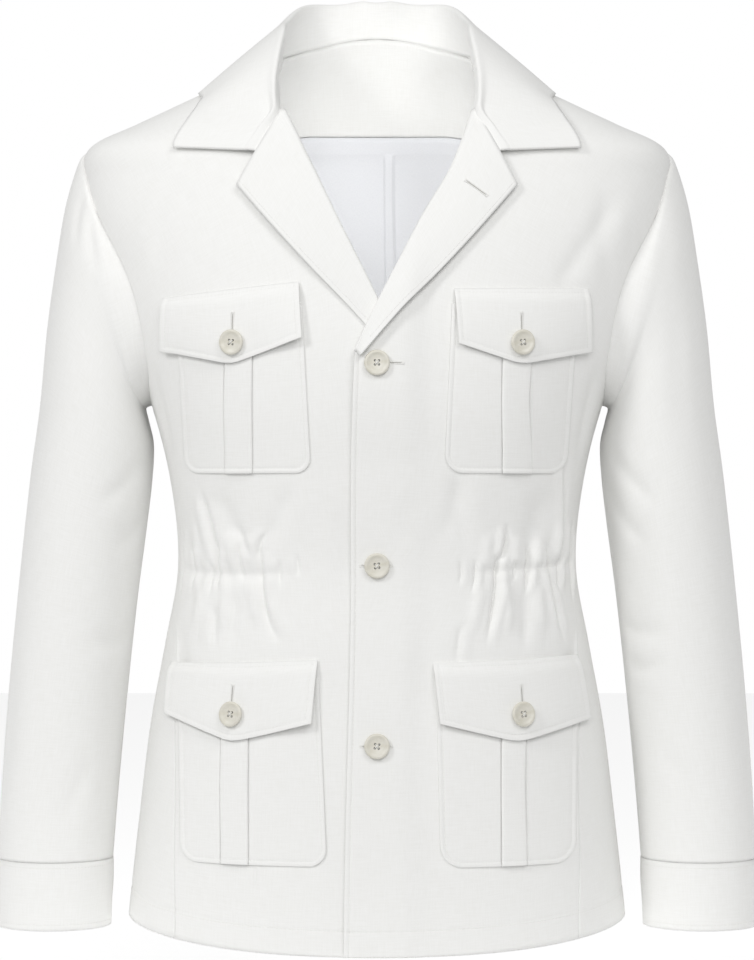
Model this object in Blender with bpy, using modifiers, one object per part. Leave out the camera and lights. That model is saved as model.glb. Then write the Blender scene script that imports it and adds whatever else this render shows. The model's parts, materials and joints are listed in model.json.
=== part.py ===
"""A linen safari jacket in the form that it has when it is worn, with nobody inside.

Metres, +Z up. +X is the wearer's left and the front faces -Y. The origin lies midway between the two
side neck points, on the wearer's shoulders, which carry the garment.

Every piece of cloth is a grid of points on one surface, the worn body of the jacket. A place on it is an
angle round the body and a height. The angle is 0 at the front centre, a quarter turn at the wearer's left
side, and half a turn at the back centre.
"""
import math

import bpy
import numpy as np
from mathutils import Vector

MM = 0.001

# Cloth and seams
PANEL_CLOTH = 1.6 * MM
TRIM_CLOTH = 1.1 * MM
CUFF_CLOTH = 2.0 * MM
COLLAR_CLOTH = 1.8 * MM
LINING_CLOTH = 1.0 * MM
SEAM_GAP = 0.4 * MM
SEAM_INSET = 0.0013
ROLL_GAP = 3.0 * MM

# The body's rings, from below the hem to above the nape, in millimetres.
# height, half width, depth to the front, depth to the back
BODY_RINGS = np.array([
    (-760, 206, 144, 143),
    (-705, 202, 142, 141),
    (-610, 192, 138, 136),
    (-545, 184, 133, 127),
    (-479, 172, 126, 112),
    (-421, 162, 121, 103),
    (-347, 168, 129, 114),
    (-287, 183, 136, 127),
    (-227, 207, 134, 131),
    (-182, 222, 126, 128),
    (-133, 236, 114, 121),
    (-104, 238, 105, 115),
    (-74, 233, 94, 106),
    (-54, 199, 82, 98),
    (-34, 158, 68, 88),
    (4, 76, 44, 70),
    (30, 60, 33, 60),
    (60, 44, 24, 46),
]) * MM
FULLNESS = 2.3

# A panel is blended in flat coordinates that are nearly those of a tailor's pattern: the height, and a width
# that is the distance from the centre as far as this angle and grows evenly with the angle beyond it.
FLAT_LIMIT = math.radians(50)
FLAT_WIDTH = math.sin(FLAT_LIMIT) ** (2 / FULLNESS)
FLAT_SLOPE = 2 / FULLNESS * math.sin(FLAT_LIMIT) ** (2 / FULLNESS - 1) * math.cos(FLAT_LIMIT)

# Heights on the body
BREAK_HEIGHT = -247 * MM
WAIST_HEIGHT = -421 * MM
HEM_SIDE_HEIGHT = -701 * MM
HEM_FRONT_DIP = 17.5 * MM

# The front edge below the break: height, how far it laps over the centre
TOP_FRONT_EDGE = np.array([(-760, 26), (-674, 25), (-441, 20), (-316, 19.5), (-247, 17)]) * MM
UNDER_FRONT_EDGE = np.array([(-760, 16), (-674, 16), (-441, 16), (-316, 16), (-247, 17)]) * MM

# The roll line that the lapel turns over, from the break to the gorge: height, distance from the centre
TOP_ROLL = np.array([(-247, -17), (-211, 0), (-171, 20), (-136, 38), (-104, 57), (-77, 68), (-50, 76)]) * MM
UNDER_ROLL = np.array([(-247, -17), (-210, -2), (-144, 30), (-104, 49), (-77, 62), (-50, 74)]) * MM

# The lapel's free edge from the break to its peak: height, distance from the centre
LAPEL_EDGE = np.array([(-251, -13), (-214, 20), (-183, 50), (-149, 81), (-114, 111)]) * MM
LAPEL_TOP = -50 * MM
LAPEL_EDGE_RISE = 5.5 * MM

# The neckline from the gorge over the side neck point to the back centre: share of its length, angle in
# degrees, height in millimetres. The side neck point is at a quarter turn.
NECKLINE = np.array([
    (0.00, 23, -47),
    (0.18, 33, -24),
    (0.32, 57, -4),
    (0.42, 90, 4),
    (0.58, 128, 12),
    (0.78, 157, 21),
    (1.00, 180, 24),
])
NECK_SHARE_AT_SIDE = 0.42

# The armhole, once round from the shoulder point over the front: turn in degrees, angle, height in mm
ARMHOLE = np.array([
    (0, 90, -75),
    (30, 82, -102),
    (60, 70, -135),
    (90, 62, -183),
    (120, 63, -228),
    (150, 72, -266),
    (180, 90, -287),
    (210, 107, -266),
    (240, 116, -228),
    (270, 119, -183),
    (300, 115, -135),
    (330, 104, -102),
    (360, 90, -75),
])

# The side seam from the hem to the armpit: height in millimetres, angle in degrees
SIDE_SEAM = np.array([(-760, 47), (-707, 49), (-648, 52), (-554, 57.5), (-476, 68), (-418, 80), (-287, 90)])

# Rows of the fronts and the back below the armpit: share of the panel, height at the front edge and the side
PANEL_ROWS = np.array([(0, -718, -706), (0.36, -465, -465), (0.42, -421, -421), (0.48, -377, -377),
                       (0.62, -247, -287)])
ARMPIT_SHARE = 0.62
ROWS_BELOW_ARMPIT = (0, 0.08, 0.16, 0.24, 0.31, 0.36, 0.39, 0.42, 0.45, 0.48, 0.53, 0.58)

# Above it, rows meet the sleeve's points all round the armhole. The gorge lies on one of these rows.
ARMHOLE_STEPS = 8
GORGE_STEP = 5

# The drawcord's gathers at the waist
GATHER_DEPTH = 3.6 * MM
GATHER_REACH = 30 * MM

# A sleeve's sections: inner side x and height, outer side x and height, middle y, half depth, in mm
SLEEVE_SECTIONS = np.array([
    (190, -288, 244, -84, 3, 67),
    (191, -293, 255, -119, 3, 68),
    (188, -303, 263, -165, 3, 68),
    (184, -320, 271, -222, 2, 68),
    (185, -348, 277, -285, 1, 67),
    (189, -385, 285, -345, -1, 65),
    (197, -450, 294, -432, -5, 61),
    (205, -530, 302, -522, -11, 56),
    (211, -600, 307, -598, -17, 51),
    (215, -654, 309, -654, -22, 48),
]) * MM
CUFF_DEPTH = 60 * MM
# How far the first sections keep to the armhole's narrow top
HEAD_SHARES = (0.9, 0.5, 0.2)

# Collar sections from its front edge to the back centre. The seam and the free edge are given by angle and
# height on the body and by their distance above it.
# The last row is the first section past the back centre.
# share, seam angle, seam height, seam rise, stand tilt, stand, fold width, edge angle, edge height, edge rise
COLLAR_SECTIONS = np.array([
    (0.00, 19.9, -88.0, 7.0, 172, 7, 0.6, 39.3, -83, 5.5),
    (0.12, 18.7, -69.5, 7.2, 140, 6, 2.0, 40.4, -70, 6.0),
    (0.24, 20.4, -50.0, 4.8, 100, 6, 5.0, 44.0, -57, 6.5),
    (0.36, 32.5, -24.5, 1.4, 76, 16, 7.0, 50.3, -43, 6.5),
    (0.50, 62.0, -2.5, 0.8, 68, 26, 8.0, 64.0, -28, 6.0),
    (0.60, 90.0, 4.0, 0.8, 54, 27, 7.0, 90.0, -21, 5.0),
    (0.72, 124.0, 11.0, 0.8, 42, 37, 7.0, 121.0, -13, 5.5),
    (0.86, 156.0, 20.5, 0.8, 31, 31, 7.0, 152.0, -3, 6.0),
    (1.00, 180.0, 24.0, 0.8, 30, 27, 7.0, 180.0, 0, 6.0),
    (1.14, 204.0, 20.5, 0.8, 31, 31, 7.0, 208.0, -3, 6.0),
])
COLLAR_SEAM_LIFT = SEAM_GAP + COLLAR_CLOTH
LEAF_START = 3 * MM

# Patch pockets and their flaps, in millimetres from the centre and in height
# inner edge top, inner edge bottom, outer edge, top, bottom
POCKETS = {"chest": (58, 53, 156, -209, -341), "hip": (46, 50, 155, -503, -648)}
# inner edge, outer edge, top, corners, tip
FLAPS = {"chest": (60, 167, -197, -242, -256), "hip": (45, 165, -490, -538, -553)}
PLEAT_INNER, PLEAT_OUTER = 95 * MM, 115 * MM
PLEAT_RISE = 0.9 * MM
# The pleat's slanted side, as an angle round the body
PLEAT_SIDE = 0.008
POCKET_CORNER = 14 * MM
FLAP_TIP = 111 * MM
POCKET_RISE = PANEL_CLOTH + 0.9 * MM
FLAP_RISE = POCKET_RISE + TRIM_CLOTH + PLEAT_RISE + 0.5 * MM

# Buttons
BUTTON_RADIUS = 10 * MM
BUTTON_THICKNESS = 3.4 * MM
BUTTON_HOLE = 0.9 * MM
SHANK = 0.4 * MM
BUTTON_HOLE_SPREAD = 2.1 * MM
FRONT_BUTTONS = (-256 * MM, -414 * MM, -555 * MM)
FLAP_BUTTON_HEIGHTS = {"chest": -239 * MM, "hip": -532 * MM}

FACING_FOOT = -55 * MM
LINING_FOOT = -300 * MM
LINING_PLEAT_RISE = 1.2 * MM
FACING_GAP = 1.5 * MM

LINEN = (0.87, 0.86, 0.82, 1.0)
LINING = (0.80, 0.80, 0.80, 1.0)
BUTTON_IVORY = (0.74, 0.71, 0.62, 1.0)


def smooth(table, places):
    """Read a table at places in its first column, along a curve without corners."""
    at = table[:, 0]
    values = table[:, 1:]
    slopes = np.gradient(values, at, axis=0)
    places = np.clip(np.asarray(places, float), at[0], at[-1])
    low = np.clip(np.searchsorted(at, places, side="right") - 1, 0, len(at) - 2)
    span = (at[low + 1] - at[low])[..., None]
    t = ((places - at[low])[..., None]) / span
    blend = t * t * (3 - 2 * t)
    bend_low = t * (1 - t) ** 2 * span
    bend_high = t * t * (t - 1) * span
    ends = values[low] * (1 - blend) + values[low + 1] * blend
    return ends + slopes[low] * bend_low + slopes[low + 1] * bend_high


def body(angle, height):
    """A point of the panels' inner face."""
    angle, height = np.broadcast_arrays(np.asarray(angle, float), np.asarray(height, float))
    ring = smooth(BODY_RINGS, height)
    sine, cosine = np.sin(angle), np.cos(angle)
    depth = np.where(cosine > 0, -ring[..., 1], ring[..., 2])
    x = ring[..., 0] * np.sign(sine) * np.abs(sine) ** (2 / FULLNESS)
    y = depth * np.abs(cosine) ** (2 / FULLNESS)
    return np.stack([x, y, height], axis=-1)


def unit(vectors):
    return vectors / np.linalg.norm(vectors, axis=-1, keepdims=True)


def outward(angle, height):
    """The direction that points straight out of the body's surface."""
    step = 0.02
    round_body = body(angle + step, height) - body(angle - step, height)
    up_body = body(angle, height + 1 * MM) - body(angle, height - 1 * MM)
    return unit(np.cross(round_body, up_body))


def on_body(angle, height, rise=0.0):
    """A point at a distance above the panels' inner face."""
    rise = np.asarray(rise, float)
    return body(angle, height) + outward(angle, height) * rise[..., None]


def angle_at(x, height, back=False):
    """The angle of the point that has this x at this height."""
    half_width = smooth(BODY_RINGS, height)[..., 0]
    turn = np.arcsin(np.clip(np.abs(x) / half_width, 0, 1) ** (FULLNESS / 2)) * np.sign(x)
    return math.pi - turn if back else turn


def ease(t):
    t = np.clip(t, 0, 1)
    return t * t * (3 - 2 * t)


def flat_width(turn, height):
    """Turn is the angle from the nearer centre line."""
    half_width = smooth(BODY_RINGS, height)[..., 0]
    size = np.abs(turn)
    near = np.sin(np.minimum(size, FLAT_LIMIT)) ** (2 / FULLNESS)
    return half_width * np.sign(turn) * (near + FLAT_SLOPE * np.maximum(size - FLAT_LIMIT, 0))


def turn_of(width, height):
    """The other way round: the angle from the nearer centre line."""
    share = np.abs(width) / smooth(BODY_RINGS, height)[..., 0]
    near = np.arcsin(np.minimum(share, FLAT_WIDTH) ** (FULLNESS / 2))
    return np.sign(width) * (near + np.maximum(share - FLAT_WIDTH, 0) / FLAT_SLOPE)


def mirrored(grid):
    """The same piece for the other side, with its faces still pointing out."""
    return (grid * (-1, 1, 1))[:, ::-1]


def material(name, colour, roughness):
    made = bpy.data.materials.new(name)
    made.use_nodes = True
    shader = made.node_tree.nodes["Principled BSDF"]
    shader.inputs["Base Color"].default_value = colour
    shader.inputs["Roughness"].default_value = roughness
    shader.inputs["Metallic"].default_value = 0.0
    return made


def cloth(name, grid, thickness, colour=LINEN, closed=False, side=1.0):
    """A wall of cloth: an open grid of faces, given its thickness by Solidify."""
    rows, columns = grid.shape[:2]
    last = columns if closed else columns - 1
    faces = []
    for i in range(rows - 1):
        for j in range(last):
            k = (j + 1) % columns
            faces.append((i * columns + j, i * columns + k, (i + 1) * columns + k, (i + 1) * columns + j))
    mesh = bpy.data.meshes.new(name)
    mesh.from_pydata(grid.reshape(-1, 3).tolist(), [], faces)
    mesh.shade_smooth()
    mesh.materials.append(material(name, colour, 0.85))
    piece = bpy.data.objects.new(name, mesh)
    jacket.objects.link(piece)
    wall = piece.modifiers.new("cloth thickness", "SOLIDIFY")
    wall.thickness = thickness
    wall.offset = side
    return piece


def blended(edges, columns, rows, back):
    """Angles and heights over a panel, worked out from its four edges."""
    def laid_flat(edge):
        turn = math.pi - edge[:, 0] if back else edge[:, 0]
        return np.column_stack([flat_width(turn, edge[:, 1]), edge[:, 1]])

    bottom, top, left, right = [laid_flat(edge) for edge in edges]
    u = columns[None, :, None]
    v = rows[:, None, None]
    corners = ((1 - u) * (1 - v) * bottom[0] + u * (1 - v) * bottom[-1]
               + (1 - u) * v * top[0] + u * v * top[-1])
    patch = (1 - v) * bottom[None] + v * top[None] + (1 - u) * left[:, None] + u * right[:, None] - corners
    turn = turn_of(patch[..., 0], patch[..., 1])
    return (math.pi - turn if back else turn), patch[..., 1]


def hem_height(angle):
    return HEM_SIDE_HEIGHT - HEM_FRONT_DIP * np.clip(np.cos(angle), 0, 1) ** 1.5


def gathered(columns, angle, height, start):
    """How far the drawcord's gathers stand out: every second column is the crest of a fold."""
    number = np.arange(len(columns))
    crest = np.where(number % 2 == 0, 1.0, -1.0) * (0.72 + 0.28 * np.sin(2.3 * number + 0.5))
    crest = crest * ease((columns - start) / 0.08) * ease((1.001 - columns) / 0.04)
    reach = np.exp(-((height - WAIST_HEIGHT) / GATHER_REACH) ** 2)
    return GATHER_DEPTH * crest[None, :] * reach


def overlap_rise(x, height):
    """How far the top front is lifted where it laps over the under front and its lapel."""
    at_height = np.interp(height, np.array([-330, -275, -200, -120]) * MM, np.array([2.5, 5.2, 5.2, 0]) * MM)
    return at_height * (1 - ease((x - 18 * MM) / (26 * MM)))


def roll_radius(share):
    """The lapel's roll is tight at the break and soft towards the collar."""
    return (1.1 + 1.8 * ease(share)) * MM


def panel_rows():
    above = [ARMPIT_SHARE + (1 - ARMPIT_SHARE) * k / ARMHOLE_STEPS for k in range(ARMHOLE_STEPS + 1)]
    return np.array(list(ROWS_BELOW_ARMPIT) + above)


def steps_up(shares):
    """How many armhole steps a row lies above the armpit."""
    return ARMHOLE_STEPS * (shares - ARMPIT_SHARE) / (1 - ARMPIT_SHARE)


def side_edge(shares, front):
    """The seam from the hem up to the armpit, then the armhole up to the shoulder point."""
    height = np.interp(shares, PANEL_ROWS[:, 0], PANEL_ROWS[:, 2])
    seam = smooth(SIDE_SEAM, height)[:, 0]
    turn = 180 * (1 - steps_up(shares) / ARMHOLE_STEPS * (1 if front else -1))
    hole = smooth(ARMHOLE, turn)
    above = shares > ARMPIT_SHARE
    angle = np.where(above, hole[:, 0], seam)
    height = np.where(above, hole[:, 1], height)
    return np.radians(angle), height * MM


def front_edge(shares, top):
    """The opening edge up to the break, the roll line up to the gorge, then the neckline to the shoulder."""
    steps = steps_up(shares)
    below = np.interp(shares, PANEL_ROWS[:, 0], PANEL_ROWS[:, 1]) * MM
    gorge_height = NECKLINE[0, 2] * MM
    height = np.where(steps > 0, BREAK_HEIGHT + (gorge_height - BREAK_HEIGHT) * steps / GORGE_STEP, below)
    lap = smooth(TOP_FRONT_EDGE if top else UNDER_FRONT_EDGE, height)[:, 0]
    roll = smooth(TOP_ROLL if top else UNDER_ROLL, height)[:, 0]
    set_back = 1.5 * roll_radius(steps / GORGE_STEP) + ROLL_GAP
    angle = angle_at(np.where(steps > 0, roll + set_back, -lap), height)
    along_neck = np.clip((steps - GORGE_STEP) / (ARMHOLE_STEPS - GORGE_STEP), 0, 1)
    neck = smooth(NECKLINE, along_neck * NECK_SHARE_AT_SIDE)
    on_neck = steps > GORGE_STEP
    return np.where(on_neck, np.radians(neck[:, 0]), angle), np.where(on_neck, neck[:, 1] * MM, height)


def front_panel(top):
    """One front, on the wearer's left. The top one laps over and is lifted by what is under it."""
    columns = np.array([0, 0.08, 0.16, 0.24, 0.32] + [0.32 + 0.68 * k / 13 for k in range(1, 14)])
    rows = panel_rows()
    left = np.column_stack(front_edge(rows, top))
    right = np.column_stack(side_edge(rows, front=True))
    right[:, 0] -= SEAM_INSET
    left[-1, 0] = math.pi / 2 - SEAM_INSET
    bottom_angle = left[0, 0] + (right[0, 0] - left[0, 0]) * columns
    bottom = np.column_stack([bottom_angle, hem_height(bottom_angle)])
    left[0], right[0] = bottom[0], bottom[-1]
    top_edge = left[-1] + (right[-1] - left[-1]) * columns[:, None]
    angle, height = blended([bottom, top_edge, left, right], columns, rows, back=False)
    rise = gathered(columns, angle, height, 0.30)
    if top:
        rise = rise + overlap_rise(body(angle, height)[..., 0], height)
    return on_body(angle, height, rise)


def back_places():
    """Angles, heights and gathers of the back, in one piece from side seam to side seam."""
    half = np.arange(0, 16) / 30
    side_neck = 8 / 30
    columns = np.concatenate([half, 1 - half[-2::-1]])
    rows = panel_rows()
    left = np.column_stack(side_edge(rows, front=False))
    left[:, 0] += SEAM_INSET
    right = left.copy()
    right[:, 0] = 2 * math.pi - left[:, 0]
    across = np.minimum(columns, 1 - columns)
    shoulder = np.clip(1 - across / side_neck, 0, 1)
    neck = np.clip((across - side_neck) / (0.5 - side_neck), 0, 1)
    along = smooth(NECKLINE, NECK_SHARE_AT_SIDE + neck * (1 - NECK_SHARE_AT_SIDE))
    top_angle = np.maximum(np.radians(along[:, 0]), math.pi / 2 + SEAM_INSET)
    top_angle = np.where(columns > 0.5, 2 * math.pi - top_angle, top_angle)
    top_edge = np.column_stack([top_angle, along[:, 1] * MM + shoulder * (left[-1, 1] - 4 * MM)])
    bottom_angle = left[0, 0] + (right[0, 0] - left[0, 0]) * columns
    bottom = np.column_stack([bottom_angle, hem_height(bottom_angle)])
    left[0], right[0] = bottom[0], bottom[-1]
    top_edge[0], top_edge[-1] = left[-1], right[-1]
    angle, height = blended([bottom, top_edge, left, right], columns, rows, back=True)
    return angle, height, gathered(across * 2, angle, height, 0.0)


def back_panel():
    return on_body(*back_places())


def inside_back(columns, foot, head, row_count, rise):
    """A sheet that lies inside the back. Its places are read from the back's own columns."""
    angle, height, _ = back_places()
    grid = []
    for part in np.linspace(0, 1, row_count):
        row = []
        for number, column in enumerate(columns):
            low = min(int(column), angle.shape[1] - 2)
            share = column - low
            heights = height[:, low] * (1 - share) + height[:, low + 1] * share
            angles = angle[:, low] * (1 - share) + angle[:, low + 1] * share
            z = foot + (min(head, heights[-1] - 1.2 * MM) - foot) * part
            row.append(on_body(np.interp(z, heights, angles), z, -rise[number]))
        grid.append(row)
    return np.array(grid)


def lapel(top):
    """The facing turned out over the front: a roll at the roll line, then the leaf that lies on the chest."""
    shares = np.array([0.075, 0.13, 0.2, 0.32, 0.45, 0.58, 0.7, 0.82, 0.92, 0.985])
    roll_table = TOP_ROLL if top else UNDER_ROLL
    heights = BREAK_HEIGHT + shares * (LAPEL_TOP - BREAK_HEIGHT)
    roll_x = smooth(roll_table, heights)[:, 0]
    roll_angle = angle_at(roll_x, heights)
    lift = overlap_rise(roll_x, heights) if top else np.zeros(len(shares))
    line = on_body(roll_angle, heights, lift)
    out = outward(roll_angle, heights)
    across = unit(np.cross(np.gradient(line, axis=0), out))
    radius = roll_radius(shares)
    base = line + across * radius[:, None] + out * (0.5 * PANEL_CLOTH + radius)[:, None]
    grid = []
    for turn in np.radians([-90, -45, 0, 45, 90]):
        grid.append(base + out * (radius * math.sin(turn))[:, None] - across * (radius * math.cos(turn))[:, None])
    edge_height = np.interp(shares, [0, 1], [LAPEL_EDGE[0, 0], LAPEL_EDGE[-1, 0]])
    edge_x = smooth(LAPEL_EDGE, edge_height)[:, 0]
    roll_rise = 0.5 * PANEL_CLOTH + 2 * radius
    edge_rise = roll_rise[0] + (LAPEL_EDGE_RISE - roll_rise[0]) * ease((shares - 0.25) / 0.6)
    start_x = roll_x + radius
    for part in (0.25, 0.5, 0.75, 1.0):
        x = start_x + (edge_x - start_x) * part
        height = heights + (edge_height - heights) * part
        over = overlap_rise(x, height) if top else 0.0
        grid.append(on_body(angle_at(x, height), height, roll_rise + (edge_rise - roll_rise) * part + over))
    return np.stack(grid, axis=1)


def collar():
    """A stand round the neck, a soft fold, and the leaf that falls over the shoulders to two points."""
    half = np.array([0, 0.06, 0.12, 0.18, 0.24, 0.30, 0.36, 0.43, 0.50, 0.60, 0.72, 0.86, 1.0])
    table = smooth(COLLAR_SECTIONS, half)
    seam_angle, edge_angle = np.radians(table[:, 0]), np.radians(table[:, 6])
    seam_height, seam_rise = table[:, 1] * MM, table[:, 2] * MM
    tilt, stand, fold = np.radians(table[:, 3]), table[:, 4] * MM, table[:, 5] * MM
    edge = on_body(edge_angle, table[:, 7] * MM, table[:, 8] * MM)
    out = outward(seam_angle, seam_height)
    seam = on_body(seam_angle, seam_height, seam_rise)
    away = edge - seam
    away = unit(away - out * np.sum(away * out, axis=1)[:, None])
    up = -away * np.cos(tilt)[:, None] + out * np.sin(tilt)[:, None]
    over = out * np.cos(tilt)[:, None] + away * np.sin(tilt)[:, None]
    seam = seam + up * COLLAR_SEAM_LIFT
    stand_top = seam + up * stand[:, None]
    fall = unit(edge - stand_top)
    leaf_start = stand_top + over * fold[:, None] + fall * LEAF_START
    grip = (0.75 * fold + 1 * MM)[:, None]
    rows = [seam + (stand_top - seam) * part for part in (0, 0.5, 1)]
    for t in (0.25, 0.5, 0.75, 1.0):
        rows.append(stand_top * (1 - t) ** 3 + (stand_top + up * grip) * 3 * t * (1 - t) ** 2
                    + (leaf_start - fall * grip) * 3 * t * t * (1 - t) + leaf_start * t ** 3)
    rows += [leaf_start + (edge - leaf_start) * part for part in (0.33, 0.67, 1.0)]
    right_half = np.stack(rows, axis=0)
    other_half = (right_half * (-1, 1, 1))[:, -2::-1]
    return np.concatenate([right_half, other_half], axis=1)


def sleeve_loop(section, turns, thickness):
    """One cross-section of the sleeve, as its inner face."""
    inner_x, inner_z, outer_x, outer_z, middle, depth = section
    inner = np.array([inner_x, middle, inner_z])
    outer = np.array([outer_x, middle, outer_z])
    centre = (inner + outer) / 2
    half = (outer - inner) / 2
    half = half * (1 - thickness / np.linalg.norm(half))
    cosine, sine = np.cos(turns)[:, None], np.sin(turns)[:, None]
    return centre + half * cosine - np.array([0, depth - thickness, 0]) * sine


def armhole_loop(turns, first_section):
    """The sleeve's head, set against the panels' edges all round the armhole."""
    hole = smooth(ARMHOLE, np.degrees(turns))
    angle, height = np.radians(hole[:, 0]), hole[:, 1] * MM
    edge = on_body(angle, height)
    out = outward(angle, height)
    along = np.roll(edge, -1, axis=0) - np.roll(edge, 1, axis=0)
    into_hole = unit(np.cross(out, along))
    sleeve_out = unit(np.cross(along, first_section - edge))
    lean = np.clip(-np.sum(sleeve_out * into_hole, axis=1), 0, 1)
    return edge + into_hole * (2 * SEAM_GAP + (PANEL_CLOTH + 0.7 * MM) * lean)[:, None]


def sleeve():
    turns = np.arange(0, 2 * ARMHOLE_STEPS) * math.pi / ARMHOLE_STEPS
    loops = [sleeve_loop(section, turns, PANEL_CLOTH) for section in SLEEVE_SECTIONS]
    hole = armhole_loop(turns, loops[0])
    for loop, share in zip(loops, HEAD_SHARES):
        loop[:, 1] += (hole[:, 1] - loop[:, 1]) * share
    return np.stack([armhole_loop(turns, loops[0])] + loops, axis=0)


def cuff():
    turns = np.arange(0, 2 * ARMHOLE_STEPS) * math.pi / ARMHOLE_STEPS
    section = SLEEVE_SECTIONS[-1].copy()
    loops = []
    for down, grow in ((0.6 * MM, 0.2 * MM), (0.5 * CUFF_DEPTH, 0.6 * MM), (CUFF_DEPTH + 1 * MM, 0)):
        lower = section + np.array([0.03 * down - grow, -down, 0.01 * down + grow, -down, -0.05 * down, grow])
        loops.append(sleeve_loop(lower, turns, CUFF_CLOTH))
    return np.stack(loops, axis=0)


def back_facing():
    """Self cloth inside the upper back, from the neck seam down to the lining."""
    columns = np.arange(10, 21)
    return inside_back(columns, FACING_FOOT, 1.0, 8, np.full(len(columns), LINING_CLOTH + FACING_GAP))


def back_lining():
    """Smooth lining inside the back, with a box of spare width beside its centre."""
    columns = np.array([7, 8, 9, 10, 11, 12, 13, 14, 14.2, 14.3, 14.7, 14.8, 15, 16, 17, 18, 19, 20, 21, 22, 23])
    rise = np.full(len(columns), LINING_CLOTH + FACING_GAP)
    rise[9:11] += LINING_PLEAT_RISE
    return inside_back(columns, LINING_FOOT, FACING_FOOT - 2 * SEAM_GAP, 10, rise)


def pocket(place):
    """A patch pocket with round lower corners and a raised box pleat."""
    inner_top, inner_bottom, outer, top, bottom = [value * MM for value in POCKETS[place]]
    drop = POCKET_CORNER * np.array([0, 0.12, 0.4, 1])
    heights = np.concatenate([bottom + drop, np.linspace(bottom + POCKET_CORNER, top, 6)[1:]])
    grid = []
    for z in heights:
        rest = max(POCKET_CORNER - (z - bottom), 0)
        tuck = POCKET_CORNER - math.sqrt(POCKET_CORNER ** 2 - rest ** 2)
        inner = inner_bottom + (inner_top - inner_bottom) * (z - bottom) / (top - bottom) + tuck
        marks = angle_at(np.array([inner, PLEAT_INNER, PLEAT_OUTER, outer - tuck]), np.full(4, z))
        angle = np.concatenate([np.linspace(marks[0], marks[1], 4), [marks[1] + PLEAT_SIDE, marks[2] - PLEAT_SIDE],
                                np.linspace(marks[2], marks[3], 5)])
        rise = np.full(len(angle), POCKET_RISE)
        rise[4:6] += PLEAT_RISE
        grid.append(on_body(angle, np.full(len(angle), z), rise))
    return np.stack(grid, axis=0)


def flap(place):
    """A pointed flap, sewn down along its top and lying over the pocket's mouth."""
    inner, outer, top, corner, tip = [value * MM for value in FLAPS[place]]
    x = np.concatenate([np.linspace(inner, FLAP_TIP, 5), np.linspace(FLAP_TIP, outer, 6)[1:]])
    foot = np.interp(x, [inner, FLAP_TIP, outer], [corner, tip, corner])
    grid = []
    for part, rise in ((1, FLAP_RISE + 0.6 * MM), (0.55, FLAP_RISE), (0.14, FLAP_RISE), (0, POCKET_RISE)):
        height = top + (foot - top) * part
        ends = angle_at(x[[0, -1]], height[[0, -1]])
        tip_angle = angle_at(FLAP_TIP, height[4])
        angle = np.concatenate([np.linspace(ends[0], tip_angle, 5), np.linspace(tip_angle, ends[1], 6)[1:]])
        grid.append(on_body(angle, height, np.full(len(x), rise)))
    return np.stack(grid, axis=0)


def button_mesh():
    """A turned button with a raised rim and four holes, standing on its flat back."""
    r, t = BUTTON_RADIUS, BUTTON_THICKNESS
    outline = [(0, t - 1.0 * MM), (r * 0.62, t - 1.0 * MM), (r * 0.74, t), (r * 0.93, t), (r, t * 0.6),
               (r * 0.9, 0), (0, 0)]
    mesh = bpy.data.meshes.new("button outline")
    mesh.from_pydata([(x, 0, z) for x, z in outline], [(i, i + 1) for i in range(len(outline) - 1)], [])
    turned = bpy.data.objects.new("turned button", mesh)
    cutters.objects.link(turned)
    screw = turned.modifiers.new("turned", "SCREW")
    screw.steps = 16
    screw.render_steps = 16
    screw.use_merge_vertices = True
    screw.merge_threshold = 0.00001
    for k in range(4):
        corner = math.radians(45 + 90 * k)
        bpy.ops.mesh.primitive_cylinder_add(vertices=6, radius=BUTTON_HOLE, depth=4 * t)
        hole = bpy.context.object
        hole.name = f"button hole {k + 1}"
        hole.location = (BUTTON_HOLE_SPREAD * math.cos(corner), BUTTON_HOLE_SPREAD * math.sin(corner), 0)
        for held in list(hole.users_collection):
            held.objects.unlink(hole)
        cutters.objects.link(hole)
        hole.display_type = "WIRE"
        hole.hide_render = True
        cut = turned.modifiers.new(f"hole {k + 1}", "BOOLEAN")
        cut.operation = "DIFFERENCE"
        cut.object = hole
    bpy.context.view_layer.update()
    finished = bpy.data.meshes.new_from_object(turned.evaluated_get(bpy.context.evaluated_depsgraph_get()))
    bpy.data.objects.remove(turned)
    finished.shade_smooth()
    finished.set_sharp_from_angle(angle=math.radians(40))
    return finished


def button(name, mesh, x, height, rise):
    """One button, its back just above the cloth that it is sewn to."""
    angle = angle_at(np.array(x), np.array(height))
    seat = on_body(angle, np.array(height), rise)
    axis = outward(angle, np.array(height))
    piece = bpy.data.objects.new(name, mesh.copy())
    piece.data.materials.clear()
    piece.data.materials.append(material(name, BUTTON_IVORY, 0.35))
    piece.location = Vector(seat)
    piece.rotation_euler = Vector(axis).to_track_quat("Z", "Y").to_euler()
    jacket.objects.link(piece)


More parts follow.
